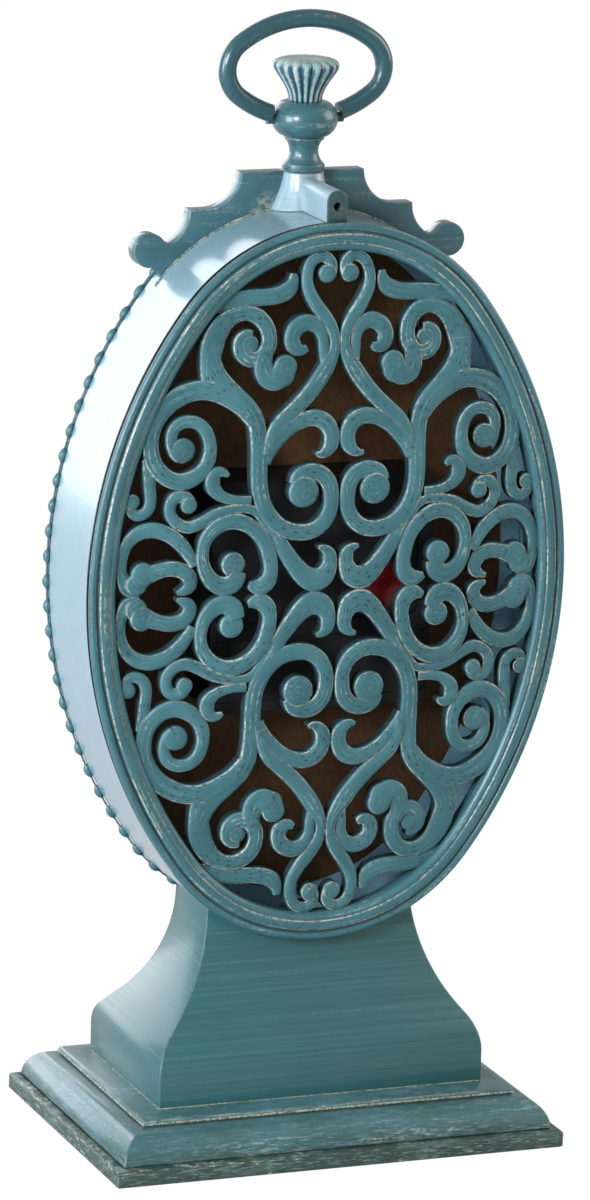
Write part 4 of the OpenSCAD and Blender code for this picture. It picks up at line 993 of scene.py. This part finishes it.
def make_bulb(x, z, r, lift):
    """A disc that ends a scroll, with the same rolled edge as the bars."""
    y = dome(x, z) + lift
    roll = min(1.0, 0.4 * r)
    profile = [(r, -BAR_DEPTH), (r, -roll), (r - 0.13 * roll, -0.55 * roll), (r - 0.4 * roll, -0.22 * roll),
               (r - 0.8 * roll, -0.06), (r * 0.4, 0.04), (0.3, 0.07)]
    disc = turned(profile, sides=28)
    for loop, spot in zip(disc.data.loops, disc.data.uv_layers.active.data):
        px, pz, py = disc.data.vertices[loop.vertex_index].co
        spot.uv = (math.atan2(pz, px) * r * 0.001, (r - math.hypot(px, pz) + min(py, 0)) * 0.001)
    lie_back = Matrix.Rotation(math.radians(-90), 4, "X")
    disc.data.transform(Matrix.Translation((x * GRID_X, y, z * GRID_Z)) @ lie_back)
    return disc


def make_grille():
    """A quarter of the scrollwork, mirrored twice."""
    quarter = [make_bar(points, lift) for points, lift in zip(SCROLLS, LIFTS)]
    quarter += [make_bulb(*bulb) for bulb in BULBS]
    whole = joined(quarter)
    modified(whole, "MIRROR", use_axis=(True, False, True), use_clip=False, use_mirror_merge=False)
    whole.data.transform(Matrix.Translation((0, 0, CASE_Z)))
    return placed(whole, "scrollwork", "rear_cover", grille_paint, ["scroll_grille"], smooth=45)


make_rim()
make_grille()


# ---- dial -----------------------------------------------------------------------------------

DIAL_Y = -6.5
# the ink lies from 0.02 to 0.08 mm over the card
INK_BACK, INK_MIDDLE, INK_FRONT = DIAL_Y - 0.02, DIAL_Y - 0.05, DIAL_Y - 0.08
NUMBER_R, NUMBER_SIZE, TICK_R = 34.5, 9.5, 42.6


def make_numbers():
    """Plain numbers and a round minute track, printed on the dial."""
    marks = []
    for hour in range(1, 13):
        a = math.radians(90 - 30 * hour)
        only()
        place = (NUMBER_R * math.cos(a), INK_MIDDLE, CASE_Z + NUMBER_R * math.sin(a))
        bpy.ops.object.text_add(location=place, rotation=(math.radians(90), 0, 0))
        text = bpy.context.object
        text.data.body = str(hour)
        text.data.size = NUMBER_SIZE
        text.data.align_x = text.data.align_y = "CENTER"
        text.data.extrude = 0.03
        bpy.ops.object.convert(target="MESH")
        bpy.ops.object.transform_apply(location=True, rotation=True)
        marks.append(bpy.context.object)
    for minute in range(60):
        a = math.radians(6 * minute)
        wide, long = (0.9, 2.6) if minute % 5 == 0 else (0.35, 1.8)
        only()
        bpy.ops.mesh.primitive_cube_add(size=1, location=(0, INK_MIDDLE, TICK_R))
        bpy.ops.transform.resize(value=(wide, INK_BACK - INK_FRONT, long))
        bpy.ops.object.transform_apply(location=True, scale=True)
        tick = bpy.context.object
        tick.data.transform(Matrix.Translation((0, 0, CASE_Z)) @ Matrix.Rotation(a, 4, "Y"))
        marks.append(tick)
    # two rings round the minute track, and two lines that follow the oval's edge
    for r in (41.3, 43.9):
        section = ((r, INK_BACK), (r + 0.3, INK_BACK), (r + 0.3, INK_FRONT), (r, INK_FRONT))
        turns = [2 * math.pi * i / 120 for i in range(120)]
        marks.append(skinned([[(s * math.cos(a), y, CASE_Z + s * math.sin(a)) for s, y in section] for a in turns],
                             closed=True))
    for inset in (13.4, 14.3):
        marks.append(moulded([(inset, INK_BACK), (inset + 0.3, INK_BACK), (inset + 0.3, INK_FRONT),
                              (inset, INK_FRONT)], 3))
    return placed(joined(marks), "dial_print", "case", printed_ink)


make_numbers()


# ---- floor, light and camera ----------------------------------------------------------------

# how bright the gloss on the clock shows the studio, as a share of what the camera sees
GLOSS_SHARE = 0.35


def seen_white(tree):
    """How far a ray is shown plain white: in full to the camera and through glass, and in part to gloss."""
    paths = add(tree, "LightPath").outputs
    seen = maths(tree, "MAXIMUM", paths["Is Camera Ray"], paths["Is Transmission Ray"])
    return maths(tree, "MAXIMUM", seen, times(tree, paths["Is Glossy Ray"], GLOSS_SHARE))


def make_floor():
    """A matt floor that glows a little where it is seen, so that it goes over into the white behind it."""
    only()
    bpy.ops.mesh.primitive_plane_add(size=24, location=(0, 0, 0))
    floor = bpy.context.object
    floor.name = "floor"
    material, tree, shader = new_material("white_studio_floor")
    shader.inputs["Base Color"].default_value = linear("#b8b8b8")
    shader.inputs["Roughness"].default_value = 0.9
    glow = add(tree, "Emission", i1=1.13)
    share = times(tree, seen_white(tree), 0.85)
    mix = add(tree, "MixShader", [(0, share), (1, shader.outputs[0]), (2, glow.outputs[0])])
    tree.links.new(mix.outputs[0], tree.nodes["Material Output"].inputs["Surface"])
    floor.data.materials.append(material)


def make_world():
    """Even, weak white studio light. What looks straight at it sees plain white."""
    world = bpy.data.worlds.new("studio")
    bpy.context.scene.world = world
    world.use_nodes = True
    tree = world.node_tree
    soft = tree.nodes["Background"]
    soft.inputs[0].default_value = linear("#ffffff")
    soft.inputs[1].default_value = 0.24
    white = add(tree, "Background", i0=linear("#ffffff"), i1=1.0)
    mix = add(tree, "MixShader", [(0, seen_white(tree)), (1, soft.outputs[0]), (2, white.outputs[0])])
    tree.links.new(mix.outputs[0], tree.nodes["World Output"].inputs["Surface"])


def add_lamp(name, place, size, power, colour="#ffffff"):
    """A softbox at a place in metres, turned to the middle of the clock."""
    lamp = bpy.data.lights.new(name, "AREA")
    lamp.shape = "RECTANGLE"
    lamp.size, lamp.size_y = size
    lamp.energy = power
    lamp.color = linear(colour)[:3]
    holder = bpy.data.objects.new(name, lamp)
    bpy.context.scene.collection.objects.link(holder)
    holder.visible_camera = False
    holder.location = place
    holder.rotation_euler = (Vector((0, 0, 0.14)) - Vector(place)).to_track_quat("-Z", "Y").to_euler()


def make_camera():
    """The photograph's camera, solved from the base, the oval and the bow: 21 degrees round, 13 degrees up."""
    yaw, pitch, roll = 0.373, 0.233, 0.029
    place, focal_px, frame_px, sensor = (0.5397, 1.3773, 0.4809), 6348.46, 1200, 36
    ahead = Vector((-math.sin(yaw) * math.cos(pitch), -math.cos(yaw) * math.cos(pitch), -math.sin(pitch)))
    right = ahead.cross(Vector((0, 0, 1))).normalized()
    up = right.cross(ahead)
    side = right * math.cos(roll) + up * math.sin(roll)
    top = up * math.cos(roll) - right * math.sin(roll)
    data = bpy.data.cameras.new("photo_camera")
    data.sensor_width = sensor
    data.lens = sensor * focal_px / frame_px
    camera = bpy.data.objects.new("photo_camera", data)
    bpy.context.scene.collection.objects.link(camera)
    turn = Matrix((side, top, -ahead)).transposed().to_4x4()
    camera.matrix_world = Matrix.Translation(place) @ turn
    data.clip_end = 50
    bpy.context.scene.camera = camera


make_floor()
make_world()
add_lamp("key_softbox", (1.3, 1.05, 0.67), (0.4, 0.5), 20, "#f0f6ff")
add_lamp("side_softbox", (1.6, 0.38, 0.42), (0.6, 0.8), 21, "#e2efff")
add_lamp("fill_softbox", (-1.5, 0.35, 0.7), (1.0, 1.0), 11)
# a wide window on the dial's side, which the varnished wall and the base's side reflect at low angles
add_lamp("window_softbox", (0.4, -1.6, 0.5), (1.5, 1.0), 12, "#f4f8ff")
make_camera()
bpy.context.scene.view_settings.view_transform = "Standard"
